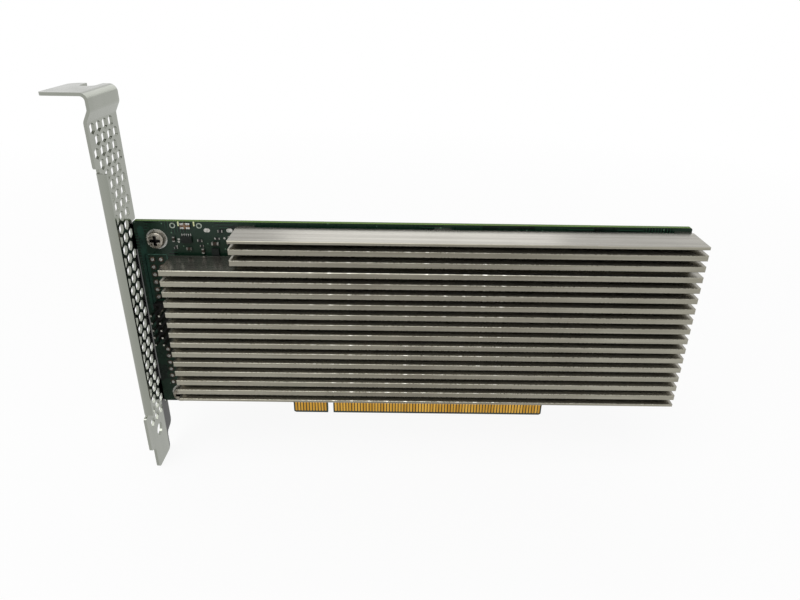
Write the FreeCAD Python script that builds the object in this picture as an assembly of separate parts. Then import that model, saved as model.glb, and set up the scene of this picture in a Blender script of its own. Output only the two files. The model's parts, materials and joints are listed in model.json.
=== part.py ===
import FreeCAD, Part
import math
import os

# Passive accelerator card: a low-profile, half-length, sixteen-lane expansion card that is
# cooled by the server's own air flow and carries a full-height bracket.
#
# Frame, in millimetres: the origin is the middle of the edge connector's key notch, on the
# board's mid-plane and level with the board's lower edge. +X runs along the card, away from
# the bracket. +Y points out of the solder side, so the heat sink is on the -Y side. +Z is up,
# out of the slot.
Vector = FreeCAD.Vector

# ---------------------------------------------------------------- circuit board
board_length = 167.15
board_height = 64.4
board_thickness = 1.57
board_corner_radius = 0.6
edge_tab_depth = 4.5
edge_tab_chamfer = 0.6
edge_bevel_height = 0.9
edge_bevel_inset = 0.3
key_notch_width = 1.9
key_notch_height = 6.6
contact_pitch = 1.0
contact_width = 0.7
contact_length = 4.6
contact_thickness = 0.05
contacts_before_key = 11
contacts_after_key = 71
tab_end_margin = 0.325

# ---------------------------------------------------------------- bracket, bent from one sheet
bracket_to_key = 57.15
sheet_thickness = 0.86
bend_radius = 0.4
board_edge_clearance = 0.1
bracket_width = 18.42
bracket_near_overhang = 15.0
bracket_corner_radius = 0.8
tab_top_height = 102.9
tab_length = 11.6
tab_near_radius = 1.2
tab_far_radius = 3.0
tab_bend_radius = 1.2
tab_notch_width = 4.42
tab_notch_depth = 6.1
tab_notch_offset = 5.1
joggle_height = 95.4
joggle_rise = 2.9
joggle_offset = 1.5
tongue_length = 19.3
tongue_width = 10.9
tongue_near_offset = 3.0
tongue_corner_radius = 1.7
near_shoulder_depth = 10.2
far_shoulder_depth = 11.2
shoulder_slope = 1.3
pilot_hole_diameter = 4.2
pilot_hole_depth = 7.0
pilot_hole_offset = 8.4
flange_bottom_height = 4.2
flange_top_height = 82.15
flange_setback = 0.5
flange_reach = 2.3
relief_gap = 1.2
ear_width = 8.0
ear_reach = 4.4
ear_corner_radius = 1.6
ear_collar_height = 0.8
ear_collar_diameter = 4.4
bracket_screw_offset = 6.9
bracket_screw_heights = (3.3, 58.7)

# vent: one honeycomb of six-sided holes, cut wherever the plate has room for them
vent_pitch = 3.78
vent_hole_width = 2.75
vent_first_height = 2.0
vent_first_offset = 13.85
vent_rows_below = 1
vent_rows_above = 28
vent_margin = 0.9
vent_board_overlap = 0.5

# ---------------------------------------------------------------- heat sink, one aluminium part
sink_gap = 1.4
sink_base_thickness = 3.2
sink_front = 13.1
sink_left_offset = 10.9
sink_top_margin = 1.1
sink_bottom_height = 9.0
fin_count = 17
fin_thickness = 1.75
end_fin_thickness = 0.9
stepped_fins = 3
step_length = 20.6
foot_width = 5.0
foot_inset = 0.4
middle_foot_offset = 93.0
post_diameter = 5.0

# ---------------------------------------------------------------- screws
bracket_screw_diameter = 2.9
bracket_screw_head_diameter = 5.2
bracket_screw_head_height = 1.8
sink_screw_diameter = 2.4
sink_screw_head_diameter = 4.2
sink_screw_head_height = 1.2
sink_screw_grip = 2.2
screw_hole_clearance = 0.15
screw_tip_clearance = 0.25
drive_recess_width = 2.6
drive_recess_wall = 0.6
head_chamfer_share = 0.45
drive_recess_depth = 0.9
spring_screw_reach = 21.1

# ---------------------------------------------------------------- processor and what is beside it
processor_offset = 97.0
processor_height = 36.0
substrate_size = 35.0
substrate_thickness = 1.5
die_length = 21.0
die_width = 19.0
die_thickness = 0.75
compound_thickness = 0.1
pocket_clearance = 1.0
memory_length = 14.0
memory_width = 12.0
memory_thickness = 1.0
memory_rows = 4
memory_pitch = 13.2
memory_reach = 31.0
pad_inset = 0.6
inductor_size = 6.6
inductor_thickness = 3.0
inductor_count = 6
inductor_pitch = 7.6
inductor_offset = 49.0
inductor_headroom = 0.4
power_stage_length = 6.0
power_stage_width = 5.0
power_stage_thickness = 0.9
power_stage_gap = 0.8
bulk_capacitor_width = 4.3
bulk_capacitor_thickness = 1.9
bulk_capacitor_count = 5
bulk_capacitor_gap = 1.25
bulk_capacitor_end_room = 1.4
bulk_capacitor_offset = 35.5
bulk_capacitor_headroom = 0.3
controller_size = 7.0
controller_thickness = 0.9
controller_offset = 148.0
controller_height = 42.0
flash_length = 6.0
flash_width = 5.0
flash_thickness = 0.8
flash_height = 28.0
crystal_length = 3.2
crystal_width = 2.5
crystal_thickness = 0.8
crystal_height = 19.0

# ---------------------------------------------------------------- rear spring behind the processor
spring_thickness = 0.8
spring_arm_width = 6.0
spring_window = 16.0
spring_frame = 25.0
spring_cushion_thickness = 0.5
spring_end_radius = 3.0
decoupling_rows = 5
decoupling_pitch = 2.6
decoupling_length = 1.0
decoupling_width = 0.5
decoupling_thickness = 0.5

# ---------------------------------------------------------------- pin header and its row of pads
header_pitch = 2.54
header_rows = 5
header_offset = 5.8
header_height = 31.7
header_body_thickness = 2.54
header_pin_width = 0.64
header_pin_reach = 8.6
header_tail_reach = 1.2
header_groove = 0.5
solder_pad_diameter = 1.8
solder_pad_rise = 0.12
solder_fillet_height = 0.9
solder_pads_above = 6
lower_pads_top = 20.3
lower_pad_count = 6

# ---------------------------------------------------------------- small parts in the step's corner
screw_pad_diameter = 6.3
screw_pad_thickness = 0.05
indicator_offset = 16.0
indicator_top_margin = 0.45
indicator_length = 3.0
indicator_width = 1.8
indicator_thickness = 0.6
indicator_pad_length = 1.2
indicator_pad_width = 0.55
sensor_drop = 2.4
sensor_length = 3.2
sensor_width = 1.9
sensor_thickness = 0.9
sensor_lead_count = 5
sensor_lead_pitch = 0.65
sensor_lead_width = 0.3
sensor_lead_reach = 0.75
sensor_lead_thickness = 0.15
interface_size = 2.2
interface_spacing = 8.3
interface_drop = 7.0
interface_thickness = 0.8
test_pad_length = 1.9
test_pad_width = 1.2
test_pad_thickness = 0.08
test_pad_places = ((6.3, 1.4), (13.1, 1.35))
terminal_share = 0.25
# each chip part: distance from the status light along the card and below it, length along X,
# width along Z, thickness
chip_capacitor_places = (
    (8.45, 5.4, 2.3, 0.9, 0.9),
    (4.6, 7.9, 0.8, 1.6, 0.8),
    (0.4, 7.2, 1.6, 0.8, 0.7),
    (12.9, 3.8, 0.8, 1.6, 0.8),
    (-3.9, 4.2, 0.8, 1.6, 0.7),
)
chip_resistor_places = (
    (3.9, 4.6, 1.6, 0.8, 0.45),
    (-3.6, 7.0, 1.2, 0.7, 0.45),
    (9.2, 3.95, 1.6, 0.6, 0.35),
    (10.3, 1.5, 1.6, 0.8, 0.45),
    (4.3, 6.3, 1.2, 0.6, 0.35),
    (12.6, 5.6, 1.2, 0.6, 0.35),
)

# ---------------------------------------------------------------- places worked out from the sizes
front_face = -board_thickness / 2
rear_face = board_thickness / 2
bracket_inner = -bracket_to_key
bracket_outer = bracket_inner - sheet_thickness
board_left = bracket_inner + bend_radius + board_edge_clearance
board_right = board_left + board_length
tab_left = -key_notch_width / 2 - contacts_before_key * contact_pitch - 2 * tab_end_margin
tab_right = key_notch_width / 2 + contacts_after_key * contact_pitch + 2 * tab_end_margin
bracket_near = front_face - bracket_near_overhang
bracket_far = bracket_near + bracket_width
ear_end = bracket_inner + bracket_screw_offset + ear_reach
sink_left = bracket_inner + sink_left_offset
sink_right = board_right
sink_step = sink_left + step_length
sink_top = board_height - sink_top_margin
sink_front_face = front_face - sink_front
sink_rear_face = front_face - sink_gap
sink_base_face = sink_rear_face - sink_base_thickness
fin_metal = (fin_count - 2) * fin_thickness + 2 * end_fin_thickness
fin_gap = (sink_top - sink_bottom_height - fin_metal) / (fin_count - 1)
stepped_metal = end_fin_thickness + (stepped_fins - 1) * fin_thickness
step_height = sink_top - stepped_metal - stepped_fins * fin_gap
bulk_column = sink_top - sink_bottom_height - 2 * (foot_width + bulk_capacitor_end_room)
bulk_gaps = (bulk_capacitor_count - 1) * bulk_capacitor_gap
bulk_capacitor_length = (bulk_column - bulk_gaps) / bulk_capacitor_count
bulk_capacitor_pitch = bulk_capacitor_length + bulk_capacitor_gap
bulk_middle = (sink_top + sink_bottom_height) / 2
processor_x = bracket_inner + processor_offset
pocket_size = substrate_size + 2 * pocket_clearance
indicator_x = bracket_inner + indicator_offset
indicator_height = board_height - indicator_top_margin - indicator_width / 2
sensor_height = indicator_height - indicator_width / 2 - sensor_drop - sensor_width / 2
screw_hole_diameter = bracket_screw_diameter + 2 * screw_hole_clearance
sink_hole_diameter = sink_screw_diameter + 2 * screw_hole_clearance
sink_thread_depth = sink_gap + sink_screw_grip + screw_tip_clearance


# ---------------------------------------------------------------- drawing helpers
def box(x_span, y_span, z_span):
    """A block between two limits along each axis, given in either order."""
    low = Vector(min(x_span), min(y_span), min(z_span))
    high = Vector(max(x_span), max(y_span), max(z_span))
    return Part.makeBox(high.x - low.x, high.y - low.y, high.z - low.z, low)


def block_on_board(x, z, length, width, near, far):
    """A block centred at (x, z) that stands across the board's thickness from near to far."""
    return box((x - length / 2, x + length / 2), (near, far), (z - width / 2, z + width / 2))


def rod_y(x, z, diameter, y_span):
    """A round bar along Y."""
    start, end = min(y_span), max(y_span)
    return Part.makeCylinder(diameter / 2, end - start, Vector(x, start, z), Vector(0, 1, 0))


def joined(shapes):
    """One solid from touching or overlapping shapes, without seams between flush faces."""
    return shapes[0].multiFuse(shapes[1:]).removeSplitter() if len(shapes) > 1 else shapes[0]


def group(shapes):
    """Separate solids that share one node."""
    return Part.makeCompound(shapes)


def across(y):
    """Drawing plane parallel to the board at depth y, with u along X and v along Z."""
    return lambda u, v: Vector(u, y, v)


def facing(x):
    """Drawing plane parallel to the bracket at x, with u along Y and v along Z."""
    return lambda u, v: Vector(x, u, v)


def level(z):
    """Horizontal drawing plane at height z, with u along X and v along Y."""
    return lambda u, v: Vector(u, v, z)


def rounded_outline(corners, plane):
    """Closed wire through (u, v, radius) corners, each rounded by a tangent arc."""
    count = len(corners)
    points = [Vector(u, v, 0) for u, v, _ in corners]
    stretches = []
    for i, (_, _, radius) in enumerate(corners):
        before = points[i - 1] - points[i]
        after = points[(i + 1) % count] - points[i]
        if radius <= 0:
            stretches.append([points[i]])
            continue
        half_angle = before.getAngle(after) / 2
        room_before = before.Length / (2 if corners[i - 1][2] > 0 else 1)
        room_after = after.Length / (2 if corners[(i + 1) % count][2] > 0 else 1)
        reach = min(radius / math.tan(half_angle), room_before, room_after)
        fitted = reach * math.tan(half_angle)
        before.normalize()
        after.normalize()
        middle_way = (before + after).normalize()
        middle = points[i] + middle_way * (fitted / math.sin(half_angle) - fitted)
        stretches.append([points[i] + before * reach, middle, points[i] + after * reach])
    edges = []
    for i, stretch in enumerate(stretches):
        placed = [plane(p.x, p.y) for p in stretch]
        if len(placed) == 3:
            edges.append(Part.Arc(*placed).toShape())
        following = stretches[(i + 1) % count][0]
        next_point = plane(following.x, following.y)
        if placed[-1].distanceToPoint(next_point) > 1e-6:
            edges.append(Part.makeLine(placed[-1], next_point))
    return Part.Wire(edges)


def prism(corners, plane, sweep):
    """A solid swept along a vector from a rounded outline."""
    return Part.Face(rounded_outline(corners, plane)).extrude(sweep)


def bent_section(face, radius):
    """Corners of a bent sheet's section: face is one side, and the metal lies to its left."""
    points = [Vector(u, v, 0) for u, v in face]
    ways = [(points[i + 1] - points[i]).normalize() for i in range(len(points) - 1)]
    face_side = []
    other_side = []
    for i, point in enumerate(points):
        into = ways[max(i - 1, 0)]
        out = ways[min(i, len(ways) - 1)]
        left_in = Vector(-into.y, into.x, 0)
        left_out = Vector(-out.y, out.x, 0)
        shift = (left_in + left_out) * (sheet_thickness / (1 + left_in.dot(left_out)))
        turn = into.x * out.y - into.y * out.x
        outer = radius + sheet_thickness
        face_radius, other_radius = 0, 0
        if turn > 1e-9:
            face_radius, other_radius = outer, radius
        elif turn < -1e-9:
            face_radius, other_radius = radius, outer
        face_side.append((point.x, point.y, face_radius))
        other_side.append((point.x + shift.x, point.y + shift.y, other_radius))
    return face_side + other_side[::-1]


# ---------------------------------------------------------------- bracket
def bracket_outline():
    """Front view of the plate and tab, with gaps where the flange and the ears are folded."""
    far = bracket_far
    tongue_near = bracket_near + tongue_near_offset
    tongue_far = tongue_near + tongue_width
    flange_fold = bracket_near + flange_setback + sheet_thickness + bend_radius
    ear_fold = rear_face - bend_radius
    soft = bracket_corner_radius
    crisp = soft / 4
    corners = [
        (tongue_near, -tongue_length, tongue_corner_radius),
        (tongue_far, -tongue_length, tongue_corner_radius),
        (tongue_far, -far_shoulder_depth - shoulder_slope, 2 * soft),
        (far, -far_shoulder_depth, 3 * soft),
    ]
    for height in bracket_screw_heights:
        bottom = height - ear_width / 2 - relief_gap
        top = height + ear_width / 2 + relief_gap
        corners += [(far, bottom, soft), (ear_fold, bottom, crisp)]
        corners += [(ear_fold, top, crisp), (far, top, soft)]
    corners += [
        (far, tab_top_height + 1, 0),
        (bracket_near, tab_top_height + 1, 0),
        (bracket_near, flange_top_height + relief_gap, 2 * soft),
        (flange_fold, flange_top_height + relief_gap, crisp),
        (flange_fold, flange_bottom_height - relief_gap, crisp),
        (bracket_near, flange_bottom_height - relief_gap, soft),
        (bracket_near, -near_shoulder_depth + shoulder_slope / 2, soft),
        (tongue_near, -near_shoulder_depth - shoulder_slope / 2, 2 * soft),
    ]
    return corners


def bracket_plate():
    """The plate, the joggle near its top and the tab that folds outwards, with the tab's notch."""
    top_inner = bracket_inner + joggle_offset
    tab_end = top_inner - sheet_thickness - tab_length
    path = [
        (bracket_inner, -tongue_length),
        (bracket_inner, joggle_height),
        (top_inner, joggle_height + joggle_rise),
        (top_inner, tab_top_height),
        (tab_end, tab_top_height),
    ]
    strip_start = bracket_near - 1
    strip_end = bracket_far + 1
    across_strip = Vector(0, strip_end - strip_start, 0)
    strip = prism(bent_section(path, tab_bend_radius), across(strip_start), across_strip)
    mask_start = tab_end - 1
    mask = prism(bracket_outline(), facing(mask_start), Vector(top_inner + 1 - mask_start, 0, 0))
    plate = strip.common(mask)
    clear = top_inner + tab_length
    tab_plan = [
        (clear, bracket_near, 0),
        (tab_end, bracket_near, tab_near_radius),
        (tab_end, bracket_far, tab_far_radius),
        (clear, bracket_far, 0),
    ]
    notch_x = top_inner - sheet_thickness - tab_notch_offset
    notch_inner = bracket_far - tab_notch_depth
    notch = [
        (notch_x - tab_notch_width / 2, notch_inner, tab_notch_width / 2),
        (notch_x + tab_notch_width / 2, notch_inner, tab_notch_width / 2),
        (notch_x + tab_notch_width / 2, bracket_far + 1, 0),
        (notch_x - tab_notch_width / 2, bracket_far + 1, 0),
    ]
    bottom = tab_top_height - sheet_thickness - tab_bend_radius
    rise = Vector(0, 0, tab_top_height + 1 - bottom)
    around = box((tab_end - 1, clear), (strip_start, strip_end), (bottom, bottom + rise.z))
    trim = around.cut(prism(tab_plan, level(bottom), rise))
    return plate.cut(trim).cut(prism(notch, level(bottom), rise))


def bracket_flange():
    """The stiffening flange, folded towards the card along the near edge."""
    inner_face = bracket_near + flange_setback + sheet_thickness
    path = [
        (bracket_inner + flange_reach, inner_face),
        (bracket_inner, inner_face),
        (bracket_inner, inner_face + bend_radius),
    ]
    rise = Vector(0, 0, flange_top_height - flange_bottom_height)
    return prism(bent_section(path, bend_radius), level(flange_bottom_height), rise)


def bracket_ear(height):
    """An ear folded behind the board, with a drawn and tapped collar for the screw."""
    bottom = height - ear_width / 2
    path = [
        (bracket_inner, rear_face - bend_radius),
        (bracket_inner, rear_face),
        (ear_end, rear_face),
    ]
    fold = prism(bent_section(path, bend_radius), level(bottom), Vector(0, 0, ear_width))
    plan = [
        (bracket_outer - 1, bottom, 0),
        (ear_end, bottom, ear_corner_radius),
        (ear_end, bottom + ear_width, ear_corner_radius),
        (bracket_outer - 1, bottom + ear_width, 0),
    ]
    depth = bend_radius + sheet_thickness
    ear = fold.common(prism(plan, across(rear_face - bend_radius), Vector(0, depth, 0)))
    x = bracket_inner + bracket_screw_offset
    outside = rear_face + sheet_thickness
    collar = rod_y(x, height, ear_collar_diameter, (outside, outside + ear_collar_height))
    hole = rod_y(x, height, bracket_screw_diameter, (front_face, outside + ear_collar_height + 1))
    return joined([ear, collar]).cut(hole)


def vent_holes():
    """A honeycomb of six-sided holes that keeps clear of the folds, the ears and the board."""
    across_corners = vent_hole_width / math.cos(math.pi / 6)
    row_pitch = vent_pitch * math.cos(math.pi / 6)
    flange_fold = bracket_near + flange_setback + sheet_thickness + bend_radius
    cutters = []
    for row in range(-vent_rows_below, vent_rows_above + 1):
        z = vent_first_height + row * row_pitch
        by_flange = flange_bottom_height - vent_pitch < z < flange_top_height + vent_pitch
        near_limit = flange_fold if by_flange else bracket_near + vent_margin
        above_board = z > board_height + vent_pitch / 2
        far_limit = bracket_far - vent_margin if above_board else front_face + vent_board_overlap
        shift = vent_pitch / 2 if row % 2 else 0
        columns = int(bracket_width / vent_pitch) + 2
        for column in range(columns):
            y = bracket_near + vent_first_offset - shift + (1 - column) * vent_pitch
            if y - vent_hole_width / 2 < near_limit or y + vent_hole_width / 2 > far_limit:
                continue
            angles = [math.pi / 6 + math.pi / 3 * k for k in range(6)]
            radius = across_corners / 2
            corners = [(y + radius * math.cos(a), z + radius * math.sin(a), 0) for a in angles]
            cutters.append(prism(corners, facing(bracket_outer - 1), Vector(sheet_thickness + 2, 0, 0)))
    return group(cutters)


def make_bracket():
    """The whole bent bracket."""
    ears = [bracket_ear(height) for height in bracket_screw_heights]
    pilot_y = bracket_near + pilot_hole_offset
    pilot = Part.makeCylinder(
        pilot_hole_diameter / 2,
        sheet_thickness + 2,
        Vector(bracket_outer - 1, pilot_y, -pilot_hole_depth),
        Vector(1, 0, 0),
    )
    plate = bracket_plate().cut(vent_holes()).cut(pilot)
    return joined([plate, bracket_flange()] + ears)


# ---------------------------------------------------------------- circuit board
def sink_feet():
    """Centres of the heat sink's square feet along its top and bottom edges, as (x, z)."""
    left_of_step = sink_step + foot_inset + foot_width / 2
    left_of_base = sink_left + foot_inset + foot_width / 2
    middle = bracket_inner + middle_foot_offset
    right = sink_right - foot_inset - foot_width / 2
    top = sink_top - foot_width / 2
    bottom = sink_bottom_height + foot_width / 2
    upper = [(x, top) for x in (left_of_step, middle, right)]
    lower = [(x, bottom) for x in (left_of_base, middle, right)]
    return upper + lower


def spring_posts():
    """Centres of the four posts around the processor."""
    reach = spring_screw_reach
    return [(processor_x + i * reach, processor_height + j * reach) for i in (-1, 1) for j in (-1, 1)]


def bracket_screw_places():
    """Centres of the two screws that hold the board to the bracket's ears."""
    return [(bracket_inner + bracket_screw_offset, height) for height in bracket_screw_heights]


def header_pins():
    """Centres of the header's two columns of pins."""
    x = bracket_inner + header_offset
    first = header_height - (header_rows - 1) / 2 * header_pitch
    columns = (x - header_pitch / 2, x + header_pitch / 2)
    return [(column, first + row * header_pitch) for column in columns for row in range(header_rows)]


def make_circuit_board():
    """The laminate, with its keyed and bevelled edge tab and its holes."""
    lower = -edge_tab_depth
    key_top = lower + key_notch_height
    key = key_notch_width / 2
    corner = board_corner_radius
    cut = edge_tab_chamfer
    outline = [
        (board_left, 0, corner),
        (tab_left, 0, corner),
        (tab_left, lower + cut, 0),
        (tab_left + cut, lower, 0),
        (-key, lower, 0),
        (-key, key_top, key),
        (key, key_top, key),
        (key, lower, 0),
        (tab_right - cut, lower, 0),
        (tab_right, lower + cut, 0),
        (tab_right, 0, corner),
        (board_right, 0, corner),
        (board_right, board_height, corner),
        (board_left, board_height, corner),
    ]
    board = prism(outline, across(front_face), Vector(0, board_thickness, 0))
    for face, inwards in ((front_face, 1), (rear_face, -1)):
        bevel = [
            (face - inwards, lower - 1, 0),
            (face + inwards * edge_bevel_inset, lower - 1, 0),
            (face + inwards * edge_bevel_inset, lower, 0),
            (face, lower + edge_bevel_height, 0),
            (face - inwards, lower + edge_bevel_height, 0),
        ]
        board = board.cut(prism(bevel, facing(tab_left - 1), Vector(tab_right - tab_left + 2, 0, 0)))
    through = (front_face - 1, rear_face + 1)
    holes = [rod_y(x, z, screw_hole_diameter, through) for x, z in bracket_screw_places()]
    holes += [rod_y(x, z, sink_hole_diameter, through) for x, z in sink_feet() + spring_posts()]
    holes += [block_on_board(x, z, header_pin_width, header_pin_width, *through) for x, z in header_pins()]
    return board.cut(group(holes))


def make_edge_contacts(face, outwards):
    """Gold contacts on one side of the edge tab, seated on the board's face."""
    bottom = -edge_tab_depth + edge_bevel_height
    before = [tab_left + tab_end_margin + (k + 0.5) * contact_pitch for k in range(contacts_before_key)]
    after = [tab_right - tab_end_margin - (k + 0.5) * contact_pitch for k in range(contacts_after_key)]
    depth = (face, face + outwards * contact_thickness)
    half = contact_width / 2
    height = (bottom, bottom + contact_length)
    return group([box((x - half, x + half), depth, height) for x in before + after])


# ---------------------------------------------------------------- heat sink
def make_heat_sink():
    """Base with pockets, feet and posts behind it, and a stack of lengthwise fins in front."""
    base_depth = Vector(0, sink_base_thickness, 0)
    silhouette = [
        (sink_left, sink_bottom_height, 0),
        (sink_right, sink_bottom_height, 0),
        (sink_right, sink_top, 0),
        (sink_step, sink_top, 0),
        (sink_step, step_height, 0),
        (sink_left, step_height, 0),
    ]
    pieces = [prism(silhouette, across(sink_base_face), base_depth)]
    top = sink_top
    for fin in range(fin_count):
        thickness = end_fin_thickness if fin in (0, fin_count - 1) else fin_thickness
        left = sink_step if fin < stepped_fins else sink_left
        pieces.append(box((left, sink_right), (sink_front_face, sink_base_face), (top - thickness, top)))
        top -= thickness + fin_gap
    for x, z in sink_feet():
        pieces.append(block_on_board(x, z, foot_width, foot_width, sink_rear_face, front_face))
    for x, z in spring_posts():
        pieces.append(rod_y(x, z, post_diameter, (sink_rear_face, front_face)))
    sink = joined(pieces)
    seat = front_face - substrate_thickness - die_thickness - compound_thickness
    cuts = [block_on_board(processor_x, processor_height, pocket_size, pocket_size, seat, sink_rear_face)]
    for places, width, length, tallest in (
        (inductor_places(), inductor_size, inductor_size, inductor_thickness + inductor_headroom),
        (bulk_capacitor_places(), bulk_capacitor_width, bulk_capacitor_length,
         bulk_capacitor_thickness + bulk_capacitor_headroom),
    ):
        bottom = front_face - tallest
        if bottom < sink_rear_face:
            wide = width + 2 * pocket_clearance
            column = places[-1][1] - places[0][1] + length + 2 * pocket_clearance
            centre = (places[0][0], (places[0][1] + places[-1][1]) / 2)
            cuts.append(block_on_board(*centre, wide, column, bottom, sink_rear_face))
    for x, z in sink_feet() + spring_posts():
        cuts.append(rod_y(x, z, sink_screw_diameter, (front_face - sink_thread_depth, front_face)))
    return sink.cut(group(cuts))


# ---------------------------------------------------------------- screws
def pan_screw(x, z, seat, inwards, length, diameter, head_diameter, head_height):
    """A cross-recess screw whose head stands on seat and whose shank points inwards."""
    top = seat - inwards * head_height
    shank = rod_y(x, z, diameter, (seat, seat + inwards * length))
    head = rod_y(x, z, head_diameter, (seat, top))
    rim = [edge for edge in head.Edges if abs(edge.BoundBox.Center.y - top) < 1e-6]
    rounded = [edge for edge in rim if edge.BoundBox.XLength > diameter / 2]
    head = head.makeChamfer(head_height * head_chamfer_share, rounded)
    depth = (top - inwards, top + inwards * min(drive_recess_depth, head_height / 2))
    span = drive_recess_width * head_diameter / bracket_screw_head_diameter
    cross = [
        block_on_board(x, z, span, drive_recess_wall, *depth),
        block_on_board(x, z, drive_recess_wall, span, *depth),
    ]
    return joined([head, shank]).cut(joined(cross))


def make_bracket_screws():
    """Two screws from the component side into the bracket's tapped ears."""
    length = screw_pad_thickness + board_thickness + sheet_thickness + ear_collar_height
    sizes = (length, bracket_screw_diameter, bracket_screw_head_diameter, bracket_screw_head_height)
    seat = front_face - screw_pad_thickness
    return group([pan_screw(x, z, seat, 1, *sizes) for x, z in bracket_screw_places()])


def make_sink_screws():
    """Screws from the solder side into the heat sink's feet."""
    length = board_thickness + sink_gap + sink_screw_grip
    sizes = (length, sink_screw_diameter, sink_screw_head_diameter, sink_screw_head_height)
    return group([pan_screw(x, z, rear_face, -1, *sizes) for x, z in sink_feet()])


def make_spring_screws():
    """Screws through the rear spring into the posts around the processor."""
    stack = spring_cushion_thickness + spring_thickness
    length = stack + board_thickness + sink_gap + sink_screw_grip
    sizes = (length, sink_screw_diameter, sink_screw_head_diameter, sink_screw_head_height / 2)
    return group([pan_screw(x, z, rear_face + stack, -1, *sizes) for x, z in spring_posts()])


# ---------------------------------------------------------------- rear spring
def square_ring(outer, inner, near, far):
    """A square frame round the processor's centre, with soft corners."""
    frames = []
    for side in (outer, inner):
        half = side / 2
        corners = [
            (processor_x + i * half, processor_height + j * half, side / 10)
            for i, j in ((-1, -1), (1, -1), (1, 1), (-1, 1))
        ]
        frames.append(prism(corners, across(near), Vector(0, far - near, 0)))
    return frames[0].cut(frames[1])


def make_spring_plate():
    """A flat spring: a square ring with four arms out to the screws."""
    near = rear_face + spring_cushion_thickness
    far = near + spring_thickness
    reach = spring_screw_reach
    half = spring_arm_width / 2
    ring = square_ring(spring_frame, spring_window, near, far)
    pieces = [ring]
    inner_end = spring_frame / math.sqrt(2) - 2 * half
    for i, j in ((-1, -1), (1, -1), (1, 1), (-1, 1)):
        arm = box((inner_end, math.hypot(reach, reach)), (near, far), (-half, half))
        arm.rotate(Vector(0, 0, 0), Vector(0, 1, 0), -math.degrees(math.atan2(j, i)))
        arm.translate(Vector(processor_x, 0, processor_height))
        pieces.append(arm)
    for x, z in spring_posts():
        pieces.append(rod_y(x, z, 2 * spring_end_radius, (near, far)))
    plate = joined(pieces)
    through = (near - 1, far + 1)
    holes = [rod_y(x, z, sink_hole_diameter, through) for x, z in spring_posts()]
    window = spring_window - spring_window / 10
    holes.append(block_on_board(processor_x, processor_height, window, window, *through))
    return plate.cut(group(holes))


def make_spring_cushion():
    """The insulating sheet between the spring's ring and the board."""
    return square_ring(spring_frame, spring_window, rear_face, rear_face + spring_cushion_thickness)


def make_decoupling_capacitors():
    """A grid of small capacitors behind the processor, inside the spring's window."""
    middle = (decoupling_rows - 1) / 2
    far = rear_face + decoupling_thickness
    places = [
        (processor_x + (i - middle) * decoupling_pitch, processor_height + (j - middle) * decoupling_pitch)
        for i in range(decoupling_rows)
        for j in range(decoupling_rows)
    ]
    size = (decoupling_length, decoupling_width, rear_face, far)
    return group([block_on_board(x, z, *size) for x, z in places])


# ---------------------------------------------------------------- electronics under the heat sink
def memory_places():
    """Centres of the two columns of memory chips beside the processor."""
    middle = (memory_rows - 1) / 2
    columns = (processor_x - memory_reach, processor_x + memory_reach)
    heights = [processor_height + (row - middle) * memory_pitch for row in range(memory_rows)]
    return [(x, z) for x in columns for z in heights]


def inductor_places():
    """Centres of the column of power inductors."""
    middle = (inductor_count - 1) / 2
    x = bracket_inner + inductor_offset
    return [(x, processor_height + (row - middle) * inductor_pitch) for row in range(inductor_count)]


def power_stage_places():
    """Centres of the power stages, each beside its inductor."""
    shift = inductor_size / 2 + power_stage_gap + pocket_clearance + power_stage_width / 2
    return [(x - shift, z) for x, z in inductor_places()]


def bulk_capacitor_places():
    """Centres of the column of polymer capacitors between the heat sink's feet."""
    middle = (bulk_capacitor_count - 1) / 2
    x = bracket_inner + bulk_capacitor_offset
    rows = range(bulk_capacitor_count)
    return [(x, bulk_middle + (row - middle) * bulk_capacitor_pitch) for row in rows]


def standing(places, length, width, thickness):
    """Equal blocks that stand on the component side."""
    size = (length, width, front_face - thickness, front_face)
    return group([block_on_board(x, z, *size) for x, z in places])


def pads_over(places, length, width, thickness):
    """Soft thermal pads that fill the gap between a chip's top and the heat sink."""
    top = front_face - thickness
    sides = (length - 2 * pad_inset, width - 2 * pad_inset)
    return group([block_on_board(x, z, *sides, sink_rear_face, top) for x, z in places])


def make_processor():
    """Substrate, silicon die and thermal compound, stacked from the board up to the heat sink."""
    substrate_top = front_face - substrate_thickness
    die_top = substrate_top - die_thickness
    compound_top = die_top - compound_thickness
    package = (processor_x, processor_height, substrate_size, substrate_size)
    silicon = (processor_x, processor_height, die_length, die_width)
    return {
        "processor_substrate": block_on_board(*package, substrate_top, front_face),
        "processor_die": block_on_board(*silicon, die_top, substrate_top),
        "thermal_compound": block_on_board(*silicon, compound_top, die_top),
    }


# ---------------------------------------------------------------- pin header
def make_header_body():
    """The header's moulded block, with a groove between its rows."""
    x = bracket_inner + header_offset
    outer = front_face - header_body_thickness
    length = header_rows * header_pitch
    body = block_on_board(x, header_height, 2 * header_pitch, length, outer, front_face)
    hole = (header_pin_width, header_pin_width, outer, front_face)
    cuts = [block_on_board(px, pz, *hole) for px, pz in header_pins()]
    first = header_height - header_rows / 2 * header_pitch
    for row in range(header_rows + 1):
        z = first + row * header_pitch
        for side in (-1, 1):
            tilted = Part.makeBox(header_groove, header_body_thickness, header_groove)
            tilted.rotate(Vector(0, 0, 0), Vector(0, 1, 0), 45)
            tilted.translate(Vector(x + side * header_pitch - header_groove / math.sqrt(2), outer, z))
            cuts.append(tilted)
    return body.cut(group(cuts))


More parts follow.
